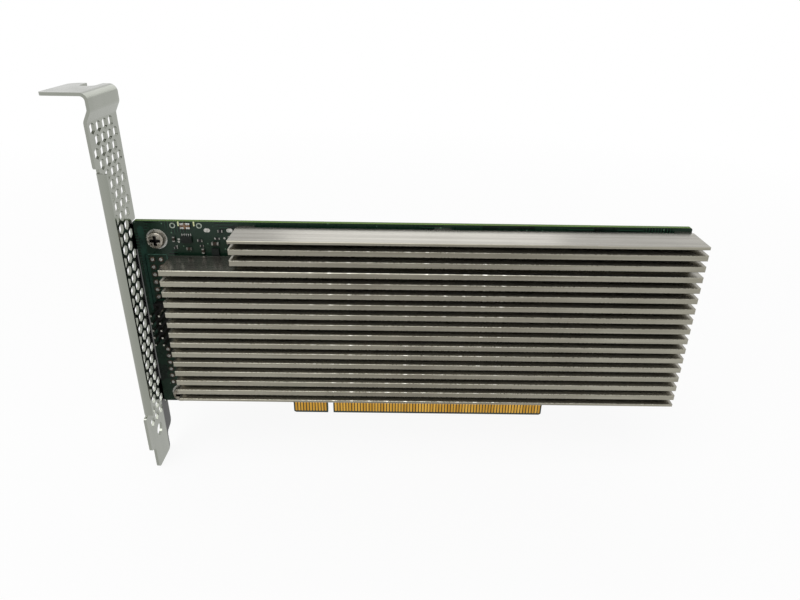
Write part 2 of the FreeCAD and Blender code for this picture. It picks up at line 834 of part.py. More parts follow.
def make_header_pins():
    """Square pins with tapered tips."""
    pins = []
    half = header_pin_width / 2
    for x, z in header_pins():
        outer = front_face - header_pin_reach
        inner = rear_face + header_tail_reach
        taper = half / 2
        corners = [
            (x - half, inner, 0),
            (x - half, outer + header_pin_width, 0),
            (x - taper, outer, 0),
            (x + taper, outer, 0),
            (x + half, outer + header_pin_width, 0),
            (x + half, inner, 0),
        ]
        pins.append(prism(corners, level(z - half), Vector(0, 0, header_pin_width)))
    return group(pins)


def make_header_solder():
    """Solder fillets round the pins' tails on the solder side."""
    tail_end = rear_face + header_tail_reach
    fillets = []
    for x, z in header_pins():
        cone = Part.makeCone(
            solder_pad_diameter / 2,
            header_pin_width,
            solder_fillet_height,
            Vector(x, rear_face, z),
            Vector(0, 1, 0),
        )
        tail = block_on_board(x, z, header_pin_width, header_pin_width, rear_face, tail_end)
        fillets.append(cone.cut(tail))
    return group(fillets)


def make_solder_pads():
    """Solder that fills the unused holes above and below the header, level and slightly raised."""
    x = bracket_inner + header_offset
    half_column = header_rows / 2 * header_pitch
    above = [header_height + half_column + (k + 0.5) * header_pitch for k in range(solder_pads_above)]
    below = [lower_pads_top - k * header_pitch for k in range(lower_pad_count)]
    pads = []
    for column in (x - header_pitch / 2, x + header_pitch / 2):
        for z in above + below:
            pads.append(rod_y(column, z, solder_pad_diameter, (front_face - solder_pad_rise, front_face)))
    return group(pads)


# ---------------------------------------------------------------- small parts in the step's corner
def make_screw_pads():
    """Tinned rings under the bracket screws' heads."""
    rings = []
    for x, z in bracket_screw_places():
        span = (front_face - screw_pad_thickness, front_face)
        rings.append(rod_y(x, z, screw_pad_diameter, span).cut(rod_y(x, z, screw_hole_diameter, span)))
    return group(rings)


def make_indicator():
    """A status light: a small moulded body over four terminals."""
    x = indicator_x
    top = front_face - indicator_thickness
    body = block_on_board(x, indicator_height, indicator_length, indicator_width, top, front_face)
    pad = (indicator_pad_length, indicator_pad_width, top, front_face)
    terminals = []
    for i in (-1, 1):
        for j in (-1, 1):
            px = x + i * (indicator_length - indicator_pad_length) / 2
            pz = indicator_height + j * (indicator_width - indicator_pad_width) / 2
            terminals.append(block_on_board(px, pz, *pad))
    return body.cut(group(terminals)), group(terminals)


def make_sensor():
    """A small chip with a row of leads along its upper side."""
    x = indicator_x
    top = front_face - sensor_thickness
    body = block_on_board(x, sensor_height, sensor_length, sensor_width, top, front_face)
    middle = (sensor_lead_count - 1) / 2
    edge = sensor_height + sensor_width / 2
    leads = []
    for k in range(sensor_lead_count):
        px = x + (k - middle) * sensor_lead_pitch
        pz = edge + sensor_lead_reach / 2
        near = front_face - sensor_lead_thickness
        leads.append(block_on_board(px, pz, sensor_lead_width, sensor_lead_reach, near, front_face))
    return body, group(leads)


def make_chip_parts(places):
    """Bodies and end terminals of two-ended chip parts."""
    bodies = []
    ends = []
    for along, below, length, width, thickness in places:
        x = indicator_x + along
        z = indicator_height - below
        top = front_face - thickness
        whole = block_on_board(x, z, length, width, top, front_face)
        lengthwise = length > width
        middle = (
            block_on_board(x, z, length * (1 - 2 * terminal_share), width, top, front_face)
            if lengthwise
            else block_on_board(x, z, length, width * (1 - 2 * terminal_share), top, front_face)
        )
        bodies.append(middle)
        ends += whole.cut(middle).Solids
    return bodies, ends


def make_test_pads():
    """Flat tinned pads with round ends."""
    half_length = test_pad_length / 2
    half_width = test_pad_width / 2
    outwards = Vector(0, test_pad_thickness, 0)
    pads = []
    for along, below in test_pad_places:
        x = indicator_x + along
        z = indicator_height - below
        corners = [
            (x - half_length, z - half_width, half_width),
            (x + half_length, z - half_width, half_width),
            (x + half_length, z + half_width, half_width),
            (x - half_length, z + half_width, half_width),
        ]
        pads.append(prism(corners, across(front_face - test_pad_thickness), outwards))
    return group(pads)


# ---------------------------------------------------------------- all nodes
def make_nodes():
    """Every separate piece of the card, by name."""
    support_x = bracket_inner + controller_offset
    interface_x = indicator_x + interface_spacing
    interface_height = indicator_height - interface_drop - interface_size / 2
    indicator_body, indicator_terminals = make_indicator()
    sensor_body, sensor_leads = make_sensor()
    capacitor_bodies, capacitor_ends = make_chip_parts(chip_capacitor_places)
    resistor_bodies, resistor_ends = make_chip_parts(chip_resistor_places)
    memory_size = (memory_length, memory_width, memory_thickness)
    stage_size = (power_stage_width, power_stage_length, power_stage_thickness)
    inductor = (inductor_size, inductor_size, inductor_thickness)
    capacitor = (bulk_capacitor_width, bulk_capacitor_length, bulk_capacitor_thickness)
    controller = (controller_size, controller_size, controller_thickness)
    flash = (flash_length, flash_width, flash_thickness)
    crystal = (crystal_length, crystal_width, crystal_thickness)
    interface = (interface_size, interface_size, interface_thickness)
    nodes = {
        "bracket": make_bracket(),
        "circuit_board": make_circuit_board(),
        "contacts_component_side": make_edge_contacts(front_face, -1),
        "contacts_solder_side": make_edge_contacts(rear_face, 1),
        "heat_sink": make_heat_sink(),
        "bracket_screws": make_bracket_screws(),
        "screw_pads": make_screw_pads(),
        "heat_sink_screws": make_sink_screws(),
        "spring_screws": make_spring_screws(),
        "spring_plate": make_spring_plate(),
        "spring_cushion": make_spring_cushion(),
        "decoupling_capacitors": make_decoupling_capacitors(),
        "memory_chips": standing(memory_places(), *memory_size),
        "memory_pads": pads_over(memory_places(), *memory_size),
        "power_inductors": standing(inductor_places(), *inductor),
        "power_stages": standing(power_stage_places(), *stage_size),
        "power_stage_pads": pads_over(power_stage_places(), *stage_size),
        "bulk_capacitors": standing(bulk_capacitor_places(), *capacitor),
        "voltage_controller": standing([(support_x, controller_height)], *controller),
        "boot_memory": standing([(support_x, flash_height)], *flash),
        "clock_crystal": standing([(support_x, crystal_height)], *crystal),
        "header_body": make_header_body(),
        "header_pins": make_header_pins(),
        "header_solder": make_header_solder(),
        "solder_pads": make_solder_pads(),
        "indicator_body": indicator_body,
        "indicator_terminals": indicator_terminals,
        "sensor_chip": sensor_body,
        "sensor_leads": sensor_leads,
        "interface_chip": standing([(interface_x, interface_height)], *interface),
        "chip_capacitors": group(capacitor_bodies),
        "chip_resistors": group(resistor_bodies),
        "chip_terminals": group(capacitor_ends + resistor_ends),
        "test_pads": make_test_pads(),
    }
    nodes.update(make_processor())
    return nodes


os.makedirs("parts", exist_ok=True)
for name, shape in make_nodes().items():
    shape.exportStep("parts/" + name + ".step")
    state = "valid" if shape.isValid() else "INVALID"
    print(name, len(shape.Solids), "solids", round(shape.Volume, 2), "mm3", state)
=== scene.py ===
"""Looks of a passive accelerator card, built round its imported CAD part. Lengths are in metres."""
import json
import logging
import math
from dataclasses import dataclass
from enum import Enum
from typing import Any, Callable, Iterable, Sequence

import bmesh
import bpy
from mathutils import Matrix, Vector

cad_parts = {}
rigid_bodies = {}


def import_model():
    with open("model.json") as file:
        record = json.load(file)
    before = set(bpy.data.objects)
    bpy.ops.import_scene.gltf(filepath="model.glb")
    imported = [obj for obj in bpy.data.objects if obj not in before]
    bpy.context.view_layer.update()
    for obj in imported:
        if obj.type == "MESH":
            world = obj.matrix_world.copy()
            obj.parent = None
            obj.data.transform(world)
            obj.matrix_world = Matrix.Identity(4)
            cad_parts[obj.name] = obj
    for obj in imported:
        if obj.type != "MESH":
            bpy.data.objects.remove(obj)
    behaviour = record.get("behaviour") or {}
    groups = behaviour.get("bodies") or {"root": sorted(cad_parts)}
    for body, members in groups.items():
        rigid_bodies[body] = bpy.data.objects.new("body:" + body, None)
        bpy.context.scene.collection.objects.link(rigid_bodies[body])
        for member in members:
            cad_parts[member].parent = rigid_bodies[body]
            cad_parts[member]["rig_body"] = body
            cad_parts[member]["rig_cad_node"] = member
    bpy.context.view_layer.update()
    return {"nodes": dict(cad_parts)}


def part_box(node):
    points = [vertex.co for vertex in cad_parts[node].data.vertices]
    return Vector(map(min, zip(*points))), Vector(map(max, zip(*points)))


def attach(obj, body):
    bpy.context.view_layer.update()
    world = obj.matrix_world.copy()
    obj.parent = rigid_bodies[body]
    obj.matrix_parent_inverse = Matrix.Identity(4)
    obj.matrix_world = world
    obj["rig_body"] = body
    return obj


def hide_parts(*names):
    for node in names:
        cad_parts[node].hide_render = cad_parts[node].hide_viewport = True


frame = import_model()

log = logging.getLogger("accelerator_card")

MM = 0.001
WELD = 0.001 * MM
FLAT_ANGLE = math.radians(0.5)
PLASTIC_SHEEN = 0.22
NOISE_LOW, NOISE_HIGH = 0.35, 0.65
# A wave texture of scale 1 repeats every pi / 10 metres.
WAVE = math.pi / 10
Test = Callable[[Vector, Vector], bool]
Socket = bpy.types.NodeSocket
Tree = bpy.types.NodeTree


# ---------------------------------------------------------------- node trees
def linear(code: str) -> tuple[float, float, float, float]:
    """Turns an sRGB hex colour into linear light.

    Args:
        code: six hex digits, such as "a09e94".

    Returns:
        Red, green, blue and an alpha of 1.
    """
    channels = []
    for start in (0, 2, 4):
        value = int(code[start:start + 2], 16) / 255
        channels.append(value / 12.92 if value <= 0.04045 else ((value + 0.055) / 1.055) ** 2.4)
    return channels[0], channels[1], channels[2], 1.0


def add_node(tree: Tree, kind: str, inputs: dict[Any, Any] | None = None,
             **settings: Any) -> bpy.types.Node:
    """Adds one node with its settings, values and links.

    Args:
        tree: the node tree that gets the node.
        kind: Blender's type name of the node.
        inputs: socket name or number to a value, or to the output socket that feeds it.
        **settings: properties of the node itself.

    Returns:
        The new node.
    """
    node = tree.nodes.new(kind)
    for name, value in settings.items():
        setattr(node, name, value)
    for key, value in (inputs or {}).items():
        if isinstance(value, Socket):
            tree.links.new(value, node.inputs[key])
        else:
            node.inputs[key].default_value = value
    return node


class Axis(Enum):
    """Direction along which a surface was drawn, rolled or brushed."""

    NONE = (1.0, 1.0, 1.0)
    X = (0.02, 1.0, 1.0)
    Y = (1.0, 0.02, 1.0)
    Z = (1.0, 1.0, 0.02)


# ---------------------------------------------------------------- finishes
@dataclass(frozen=True)
class Finish:
    """A surface with patches of colour, uneven gloss and a fine relief.

    The colour runs between two hex values in soft patches, and the relief is a grain of a real
    size. Every pattern stands on the piece's own coordinates.
    """

    name: str
    slot: str
    light: str
    dark: str
    metallic: float = 0.0
    smooth: float = 0.3
    rough: float = 0.5
    patch: float = 6.0 * MM
    grain: float = 0.25 * MM
    relief: float = 0.01 * MM
    brushed: Axis = Axis.NONE

    def place(self, tree: Tree) -> Socket:
        """Returns the piece's own coordinates, stretched along the brushing."""
        spot = add_node(tree, "ShaderNodeTexCoord").outputs["Object"]
        stretched = add_node(tree, "ShaderNodeMapping",
                             {"Vector": spot, "Scale": self.brushed.value})
        return stretched.outputs["Vector"]

    def noise(self, tree: Tree, size: float, low: float, high: float,
              where: Socket | None = None, detail: float = 3.0) -> Socket:
        """Adds a noise of one real size, spread between two values.

        Args:
            tree: the material's node tree.
            size: width of one blotch, in metres.
            low: value where the noise is low.
            high: value where the noise is high.
            where: coordinates, or the finish's own when left out.
            detail: how many finer layers it holds.

        Returns:
            The socket with the spread value.
        """
        blotches = add_node(tree, "ShaderNodeTexNoise", {
            "Vector": where or self.place(tree), "Scale": 1 / size, "Detail": detail})
        spread = add_node(tree, "ShaderNodeMapRange", {
            "Value": blotches.outputs["Fac"], "From Min": NOISE_LOW, "From Max": NOISE_HIGH,
            "To Min": low, "To Max": high})
        return spread.outputs["Result"]

    def falloff(self, tree: Tree, axis: str, centre: float, near: float, far: float,
                peak: float = 1.0, curve: str = "SMOOTHSTEP") -> Socket:
        """Makes a value that falls to 0 with the distance from a plane across one axis.

        Args:
            tree: the material's node tree.
            axis: "X", "Y" or "Z".
            centre: the plane's place on that axis.
            near: distance up to which the value keeps its peak.
            far: distance from which the value is 0.
            peak: the highest value.
            curve: how it falls, in Blender's words.

        Returns:
            The socket with the value.
        """
        spot = add_node(tree, "ShaderNodeTexCoord").outputs["Object"]
        along = add_node(tree, "ShaderNodeSeparateXYZ", {"Vector": spot}).outputs[axis]
        shifted = add_node(tree, "ShaderNodeMath", {0: along, 1: centre}, operation="SUBTRACT")
        away = add_node(tree, "ShaderNodeMath", {0: shifted.outputs[0]}, operation="ABSOLUTE")
        falling = add_node(tree, "ShaderNodeMapRange", {
            "Value": away.outputs[0], "From Min": near, "From Max": far, "To Min": peak,
            "To Max": 0.0}, interpolation_type=curve)
        return falling.outputs["Result"]

    def blend(self, tree: Tree, factor: Socket, first: Any,
              second: Any) -> Socket:
        """Mixes two colours, each a hex code or a socket, and returns the mixed colour."""
        mix = add_node(tree, "ShaderNodeMix", data_type="RGBA")
        tree.links.new(factor, mix.inputs[0])
        for number, colour in ((6, first), (7, second)):
            if isinstance(colour, str):
                mix.inputs[number].default_value = linear(colour)
            else:
                tree.links.new(colour, mix.inputs[number])
        return mix.outputs[2]

    def colour(self, tree: Tree) -> Socket:
        """Returns the surface's colour."""
        return self.blend(tree, self.noise(tree, self.patch, 0.0, 1.0), self.dark, self.light)

    def gloss(self, tree: Tree) -> Socket:
        """Returns the surface's roughness."""
        return self.noise(tree, self.patch / 2, self.smooth, self.rough)

    def height(self, tree: Tree) -> Socket:
        """Returns the height of the surface's relief, from 0 to 1."""
        return self.noise(tree, self.grain, 0.0, 1.0, detail=2.0)

    def adjust(self, shader: bpy.types.Node) -> None:
        """Keeps the sheen of plastics, lacquer and ceramic low, as their fine texture does."""
        if self.metallic == 0.0:
            shader.inputs["Specular IOR Level"].default_value = PLASTIC_SHEEN

    def build(self) -> bpy.types.Material:
        """Makes the material.

        Returns:
            The finished material.
        """
        material = bpy.data.materials.new(self.name)
        material.use_nodes = True
        tree = material.node_tree
        tree.nodes.clear()
        bump = add_node(tree, "ShaderNodeBump",
                        {"Height": self.height(tree), "Distance": self.relief, "Strength": 1.0})
        shader = add_node(tree, "ShaderNodeBsdfPrincipled", {
            "Base Color": self.colour(tree), "Roughness": self.gloss(tree),
            "Metallic": self.metallic, "Normal": bump.outputs["Normal"]})
        self.adjust(shader)
        add_node(tree, "ShaderNodeOutputMaterial", {"Surface": shader.outputs["BSDF"]})
        return material


@dataclass(frozen=True)
class MilledFins(Finish):
    """Aluminium fins: streaks along the fins, with water marks and handling stains over them, and
    painted reflection that darkens their middle.
    """

    stain_and_painted_reflection: str = "5f594e"
    stain_size: float = 16.0 * MM
    reflection_middle: float = 30.0 * MM
    reflection_reach: float = 85.0 * MM
    reflection_depth: float = 0.5
    stain_depth: tuple[float, float] = (-0.1, 0.12)

    def colour(self, tree: Tree) -> Socket:
        """Returns lengthwise streaks, darkened in the middle by painted reflection and by faint
        stains.
        """
        spot = add_node(tree, "ShaderNodeTexCoord").outputs["Object"]
        # painted reflection: a broad dark zone across the middle of the fins, mixed into the stain
        # colour
        painted_reflection = self.falloff(tree, "X", self.reflection_middle, 0.0, self.reflection_reach, self.reflection_depth)
        stains = self.noise(tree, self.stain_size, *self.stain_depth, where=spot, detail=5.0)
        both = add_node(tree, "ShaderNodeMath", {0: painted_reflection, 1: stains}, operation="ADD",
                        use_clamp=True)
        return self.blend(tree, both.outputs[0], super().colour(tree), self.stain_and_painted_reflection)


@dataclass(frozen=True)
class BurrWithPaintedGlints(Finish):
    """Burr of a saw or cutter: dull, with short painted highlights at an even spacing."""

    glint: str = "faf8ee"
    glint_pitch: float = 5.6 * MM
    glint_share: float = 0.83
    glint_middle: float = 27.0 * MM
    glint_reach: float = 34.0 * MM
    glint_fade: float = 8.0 * MM
    glint_wobble: float = 1.2
    glint_strength: tuple[float, float] = (-0.05, 1.15)
    patchiness: float = 14.0 * MM

    def colour(self, tree: Tree) -> Socket:
        """Returns the dull burr with its painted highlights, which fade in and out along the fins.
        """
        spot = add_node(tree, "ShaderNodeTexCoord").outputs["Object"]
        # painted highlights: short near-white dashes that stand in for glints on the burr
        teeth = add_node(tree, "ShaderNodeTexWave", {
            "Vector": spot, "Scale": WAVE / self.glint_pitch, "Distortion": self.glint_wobble,
            "Detail Scale": 1 / self.patchiness}, bands_direction="X")
        sharp = add_node(tree, "ShaderNodeMapRange", {
            "Value": teeth.outputs["Fac"], "From Min": self.glint_share, "From Max": 1.0})
        uneven = self.noise(tree, self.patchiness, *self.glint_strength, where=spot)
        strong = add_node(tree, "ShaderNodeMath", {0: sharp.outputs[0], 1: uneven},
                          operation="MULTIPLY", use_clamp=True)
        within = self.falloff(tree, "X", self.glint_middle, self.glint_reach - self.glint_fade,
                              self.glint_reach, curve="LINEAR")
        shown = add_node(tree, "ShaderNodeMath", {0: strong.outputs[0], 1: within},
                         operation="MULTIPLY")
        return self.blend(tree, shown.outputs[0], super().colour(tree), self.glint)


@dataclass(frozen=True)
class ShadePaintedSheet(Finish):
    """Plated sheet with a band of painted shade on its inner face, in the narrow gap beside the
    board's end.
    """

    painted_shade: str = "161614"
    inner_face: float = -57.4 * MM
    board_top: float = 63.6 * MM
    band: float = 2.0 * MM
    fade: float = 0.9 * MM

    def colour(self, tree: Tree) -> Socket:
        """Returns the plating's colour, with painted shade along the board's end on the inner face
        only.
        """
        # painted shade: a near-black band on the inner face next to the board's end
        dark = self.falloff(tree, "Y", 0.0, self.band, self.band + self.fade)
        spot = add_node(tree, "ShaderNodeTexCoord").outputs["Object"]
        axes = add_node(tree, "ShaderNodeSeparateXYZ", {"Vector": spot})
        for axis, limit, side in (("X", self.inner_face, "GREATER_THAN"),
                                  ("Z", self.board_top, "LESS_THAN")):
            beside = add_node(tree, "ShaderNodeMath", {0: axes.outputs[axis], 1: limit},
                              operation=side)
            dark = add_node(tree, "ShaderNodeMath", {0: dark, 1: beside.outputs[0]},
                            operation="MULTIPLY").outputs[0]
        return self.blend(tree, dark, super().colour(tree), self.painted_shade)


@dataclass(frozen=True)
class SolderMask(Finish):
    """Green solder mask: lacquer that shows the copper areas, tracks and vias under it."""

    copper: str = "13291d"
    track: str = "1c3a2a"
    via: str = "4f6b58"
    area_size: float = 9.0 * MM
    copper_share: float = 0.6
    track_pitch: float = 0.9 * MM
    track_share: float = 0.72
    bundles: tuple[tuple[str, float, float], ...] = (("X", 0.0, 0.22), ("Z", 0.3, 0.52))
    via_pitch: float = 2.6 * MM
    via_radius: float = 0.24 * MM

    def tracks(self, tree: Tree, spot: Socket, group: Socket, way: str, low: float,
               high: float) -> Socket:
        """Draws a bundle of tracks inside some of the copper areas.

        Args:
            tree: the material's node tree.
            spot: the piece's own coordinates.
            group: a random value that is one number within each area.
            way: axis across the tracks, "X" or "Z".
            low: lowest group value that holds such a bundle.
            high: highest group value that holds such a bundle.

        Returns:
            1 on a track of the bundle and 0 elsewhere.
        """
        bands = add_node(tree, "ShaderNodeTexWave", {
            "Vector": spot, "Scale": WAVE / self.track_pitch}, bands_direction=way)
        drawn = add_node(tree, "ShaderNodeMath", {0: bands.outputs["Fac"], 1: self.track_share},
                         operation="GREATER_THAN").outputs[0]
        for limit, side in ((low, "GREATER_THAN"), (high, "LESS_THAN")):
            inside = add_node(tree, "ShaderNodeMath", {0: group, 1: limit}, operation=side)
            drawn = add_node(tree, "ShaderNodeMath", {0: inside.outputs[0], 1: drawn},
                             operation="MULTIPLY").outputs[0]
        return drawn

    def colour(self, tree: Tree) -> Socket:
        """Returns the lacquer's green, lighter over copper, tracks and vias."""
        spot = add_node(tree, "ShaderNodeTexCoord").outputs["Object"]
        cells = add_node(tree, "ShaderNodeTexVoronoi",
                         {"Vector": spot, "Scale": 1 / self.area_size, "Randomness": 0.9},
                         distance="CHEBYCHEV")
        group = add_node(tree, "ShaderNodeSeparateColor",
                         {"Color": cells.outputs["Color"]}).outputs["Red"]
        poured = add_node(tree, "ShaderNodeMath", {0: group, 1: self.copper_share},
                          operation="GREATER_THAN")
        surface = self.blend(tree, poured.outputs[0], super().colour(tree), self.copper)
        for bundle in self.bundles:
            drawn = self.tracks(tree, spot, group, *bundle)
            surface = self.blend(tree, drawn, surface, self.track)
        dots = add_node(tree, "ShaderNodeTexVoronoi",
                        {"Vector": spot, "Scale": 1 / self.via_pitch, "Randomness": 0.75})
        drilled = add_node(tree, "ShaderNodeMath", {
            0: dots.outputs["Distance"], 1: self.via_radius / self.via_pitch},
            operation="LESS_THAN")
        return self.blend(tree, drilled.outputs[0], surface, self.via)

    def adjust(self, shader: bpy.types.Node) -> None:
        """Gives the lacquer its thin gloss."""
        shader.inputs["IOR"].default_value = 1.5
        shader.inputs["Specular IOR Level"].default_value = 0.25


@dataclass(frozen=True)
class ClearResin(Finish):
    """Cast resin, as on a status light: it lets light in and glows a little with it."""

    def adjust(self, shader: bpy.types.Node) -> None:
        """Lets light into the resin."""
        shader.inputs["IOR"].default_value = 1.5
        shader.inputs["Transmission Weight"].default_value = 0.35


# Extruded aluminium, milled in front: streaks run with the cutter, along the fins; their darker
# middle is painted reflection.
FINS = MilledFins("milled_aluminium", "sink_aluminium", "a09d90", "8f8c7f", 1.0, 0.18, 0.32,
                  1.4 * MM, 0.16 * MM, 0.006 * MM, Axis.X)
# The fins' long faces are left as extruded: a little smoother, so they mirror the board.
EXTRUDED = MilledFins("extruded_aluminium", "sink_aluminium", "a8a59c", "918e85", 0.92, 0.18, 0.26,
                      1.8 * MM, 0.3 * MM, 0.004 * MM, Axis.X, reflection_depth=0.0)
# The cutter leaves a fine burr along the fins' front edges, with a painted highlight at every
# tooth's spacing.
BURR_AND_GLINTS = BurrWithPaintedGlints("burr_painted_glints", "sink_aluminium", "a6a396", "8e8b7f", 1.0, 0.22, 0.36,
                   1.2 * MM, 0.3 * MM, 0.02 * MM)
# Bright nickel over rolled steel: nearly even, with a faint cloud of handling, and a band of
# painted shade on the inner face beside the board.
BRACKET_STEEL = ShadePaintedSheet("nickel_steel_painted_shade", "bracket_steel", "9c9e96", "8f9289", 1.0,
                              0.14, 0.24, 9.0 * MM, 0.12 * MM, 0.002 * MM, Axis.Z)
MASK = SolderMask("green_solder_mask", "board_laminate", "0f1f17", "0a130f", 0.0, 0.24, 0.36,
                  5.0 * MM, 0.35 * MM, 0.006 * MM)
# Cut glass laminate: the bare edge is yellow-green and dull, with the weave's layers in it.
CUT_EDGE = Finish("cut_glass_laminate", "board_laminate", "648434", "3a5420", 0.0, 0.5, 0.7,
                  1.2 * MM, 0.08 * MM, 0.01 * MM, Axis.X)
GOLD = Finish("hard_gold_plating", "contact_gold", "d9a94a", "b98a34", 1.0, 0.16, 0.26,
              1.5 * MM, 0.1 * MM, 0.001 * MM, Axis.Z)
SCREW_STEEL = Finish("zinc_plated_steel", "screw_steel", "b5b0a6", "7f786d", 1.0, 0.2, 0.36,
                     0.8 * MM, 0.08 * MM, 0.004 * MM)
# The cross recess keeps the dark oil of the heading press; its near-black colour is partly painted
# shade.
RECESS_OIL_AND_SHADE = Finish("recess_oil_and_painted_shade", "screw_steel", "1f1c19", "0e0c0b", 0.6, 0.3, 0.5,
                     0.5 * MM, 0.08 * MM, 0.004 * MM)
# Tin on chip ends is dull; its darker colour is painted reflection of the dark board round it.
CHIP_END = Finish("dull_tinned_end", "solder", "a8a8a4", "5a5954", 0.9, 0.25, 0.45,
                  0.5 * MM, 0.1 * MM, 0.01 * MM)
SPRING_STEEL = Finish("stamped_spring_steel", "spring_steel", "a9a8a4", "8d8c88", 1.0, 0.28, 0.42,
                      5.0 * MM, 0.1 * MM, 0.003 * MM, Axis.X)
FILM = Finish("black_insulating_film", "insulating_film", "1b1b1c", "121213", 0.0, 0.55, 0.75,
              3.0 * MM, 0.2 * MM, 0.01 * MM)
TINNED = Finish("tinned_copper", "tinned_copper", "c8c8c4", "a2a29c", 1.0, 0.24, 0.42,
                0.7 * MM, 0.15 * MM, 0.01 * MM)
SOLDER = Finish("lead_free_solder", "solder", "c4c4c2", "8e8e8a", 1.0, 0.22, 0.45,
                0.5 * MM, 0.12 * MM, 0.012 * MM)
# Solder left in unused holes keeps brown flux on it.
FLUXED_SOLDER = Finish("flux_stained_solder", "solder", "5c5044", "2e2620", 0.9, 0.16, 0.34,
                       0.8 * MM, 0.12 * MM, 0.012 * MM)
# Header pins are matt tin, so they stay dim in the header's shade.
PIN_TIN = Finish("matt_tin_plating", "contact_gold", "b0ada5", "8d8a82", 1.0, 0.14, 0.24,
                 0.8 * MM, 0.1 * MM, 0.004 * MM)
# Black epoxy moulding compound: eroded mould walls leave a fine, even frost.
EPOXY = Finish("black_moulding_compound", "chip_mould", "2a2a2c", "1d1d1f", 0.0, 0.5, 0.66,
               2.0 * MM, 0.06 * MM, 0.006 * MM)
# The two small packages of the free corner are as dark as the lacquer round them.
SMALL_EPOXY = Finish("small_package_epoxy", "chip_mould", "171d1a", "0f1412", 0.0, 0.5, 0.66,
                     1.0 * MM, 0.06 * MM, 0.006 * MM)
RESIN_CASE = Finish("moulded_capacitor_case", "capacitor_mould", "2c2a28", "1f1d1c", 0.0, 0.45, 0.6,
                    2.0 * MM, 0.08 * MM, 0.006 * MM)
CERAMIC = Finish("fired_capacitor_ceramic", "chip_ceramic", "372d25", "251e19", 0.0, 0.4, 0.55,
                 0.5 * MM, 0.06 * MM, 0.004 * MM)
RESISTOR = Finish("glazed_resistor_film", "resistor_film", "202022", "141416", 0.0, 0.2, 0.32,
                  0.4 * MM, 0.08 * MM, 0.003 * MM)
IRON_POWDER = Finish("pressed_iron_powder", "inductor_iron", "55565a", "3c3d41", 0.2, 0.5, 0.7,
                     1.0 * MM, 0.12 * MM, 0.015 * MM)
CAN_LID = Finish("nickel_plated_lid", "crystal_can", "c4c2ba", "a9a79f", 1.0, 0.2, 0.3,
                 1.2 * MM, 0.08 * MM, 0.002 * MM)
SUBSTRATE = Finish("package_substrate", "substrate_laminate", "1c4a2c", "153a23", 0.0, 0.28, 0.4,
                   3.0 * MM, 0.3 * MM, 0.004 * MM)
SILICON = Finish("polished_silicon", "die_silicon", "6f747e", "5d626b", 1.0, 0.06, 0.12,
                 6.0 * MM, 0.3 * MM, 0.0005 * MM)
PASTE = Finish("grey_thermal_paste", "thermal_paste", "b4b4b2", "9a9a98", 0.0, 0.4, 0.6,
               2.0 * MM, 0.5 * MM, 0.03 * MM)
GAP_PAD = Finish("silicone_gap_pad", "thermal_pad", "8d9aa6", "7b8894", 0.0, 0.65, 0.8,
                 1.5 * MM, 0.3 * MM, 0.02 * MM)
NYLON = Finish("glass_filled_nylon", "header_plastic", "151515", "0c0c0c", 0.0, 0.4, 0.55,
               1.2 * MM, 0.1 * MM, 0.006 * MM)
LENS = ClearResin("amber_light_resin", "indicator_lens", "8f6a44", "5e4630", 0.0, 0.12, 0.2,
                  0.6 * MM, 0.15 * MM, 0.002 * MM)
# White epoxy ink, screen-printed: slightly broken where the lacquer is uneven.
INK = Finish("screen_printed_ink", "board_laminate", "bcc4b8", "7c877a", 0.0, 0.55, 0.7,
             0.4 * MM, 0.1 * MM, 0.004 * MM)
# White printed ink, coloured dark green-grey as painted shade.
SHADED_INK = Finish("printed_ink_painted_shade", "board_laminate", "4d7466", "2c4a3e", 0.0, 0.5, 0.7,
                  1.0 * MM, 0.1 * MM, 0.004 * MM)
# Bare laminate lets daylight through from behind, so it is pale yellow.
PALE_LAMINATE = Finish("bare_glass_laminate", "board_laminate", "e4e6c2", "b9c088", 0.0, 0.5, 0.7,
                       0.8 * MM, 0.1 * MM, 0.004 * MM)
# Broad copper under lacquer shows as a calm blue-green.
EARTH_COPPER = Finish("lacquered_earth_copper", "board_laminate", "1d3f33", "122923", 0.0, 0.22,
                      0.34, 4.0 * MM, 0.3 * MM, 0.003 * MM)
# Copper under lacquer: the track stands up as a lighter green line.
TRACK_COPPER = Finish("lacquered_copper", "board_laminate", "2c6a3f", "1f5231", 0.0, 0.2, 0.32,
                      1.0 * MM, 0.3 * MM, 0.004 * MM)


# ---------------------------------------------------------------- modelling by operators
def deselect_all() -> None:
    """Leaves edit mode and selects nothing."""
    if bpy.context.object and bpy.context.object.mode != "OBJECT":
        bpy.ops.object.mode_set(mode="OBJECT")
    bpy.ops.object.select_all(action="DESELECT")


def island_boxes(node: str) -> list[tuple[Vector, Vector]]:
    """Finds the separate solids of a CAD node.

    Args:
        node: the CAD node's name.

    Returns:
        The lowest and highest corner of each solid, from the lowest to the highest along Z,
        then X.
    """
    shape = bmesh.new()
    shape.from_mesh(frame["nodes"][node].data)
    bmesh.ops.remove_doubles(shape, verts=shape.verts, dist=WELD)
    left = set(shape.verts)
    boxes = []
    while left:
        stack = [left.pop()]
        island = list(stack)
        while stack:
            for edge in stack.pop().link_edges:
                for vertex in edge.verts:
                    if vertex in left:
                        left.remove(vertex)
                        stack.append(vertex)
                        island.append(vertex)
        low = Vector([min(v.co[i] for v in island) for i in range(3)])
        high = Vector([max(v.co[i] for v in island) for i in range(3)])
        boxes.append((low, high))
    shape.free()
    return sorted(boxes, key=lambda b: (round(b[0].z, 6), round(b[0].x, 6), round(b[0].y, 6)))


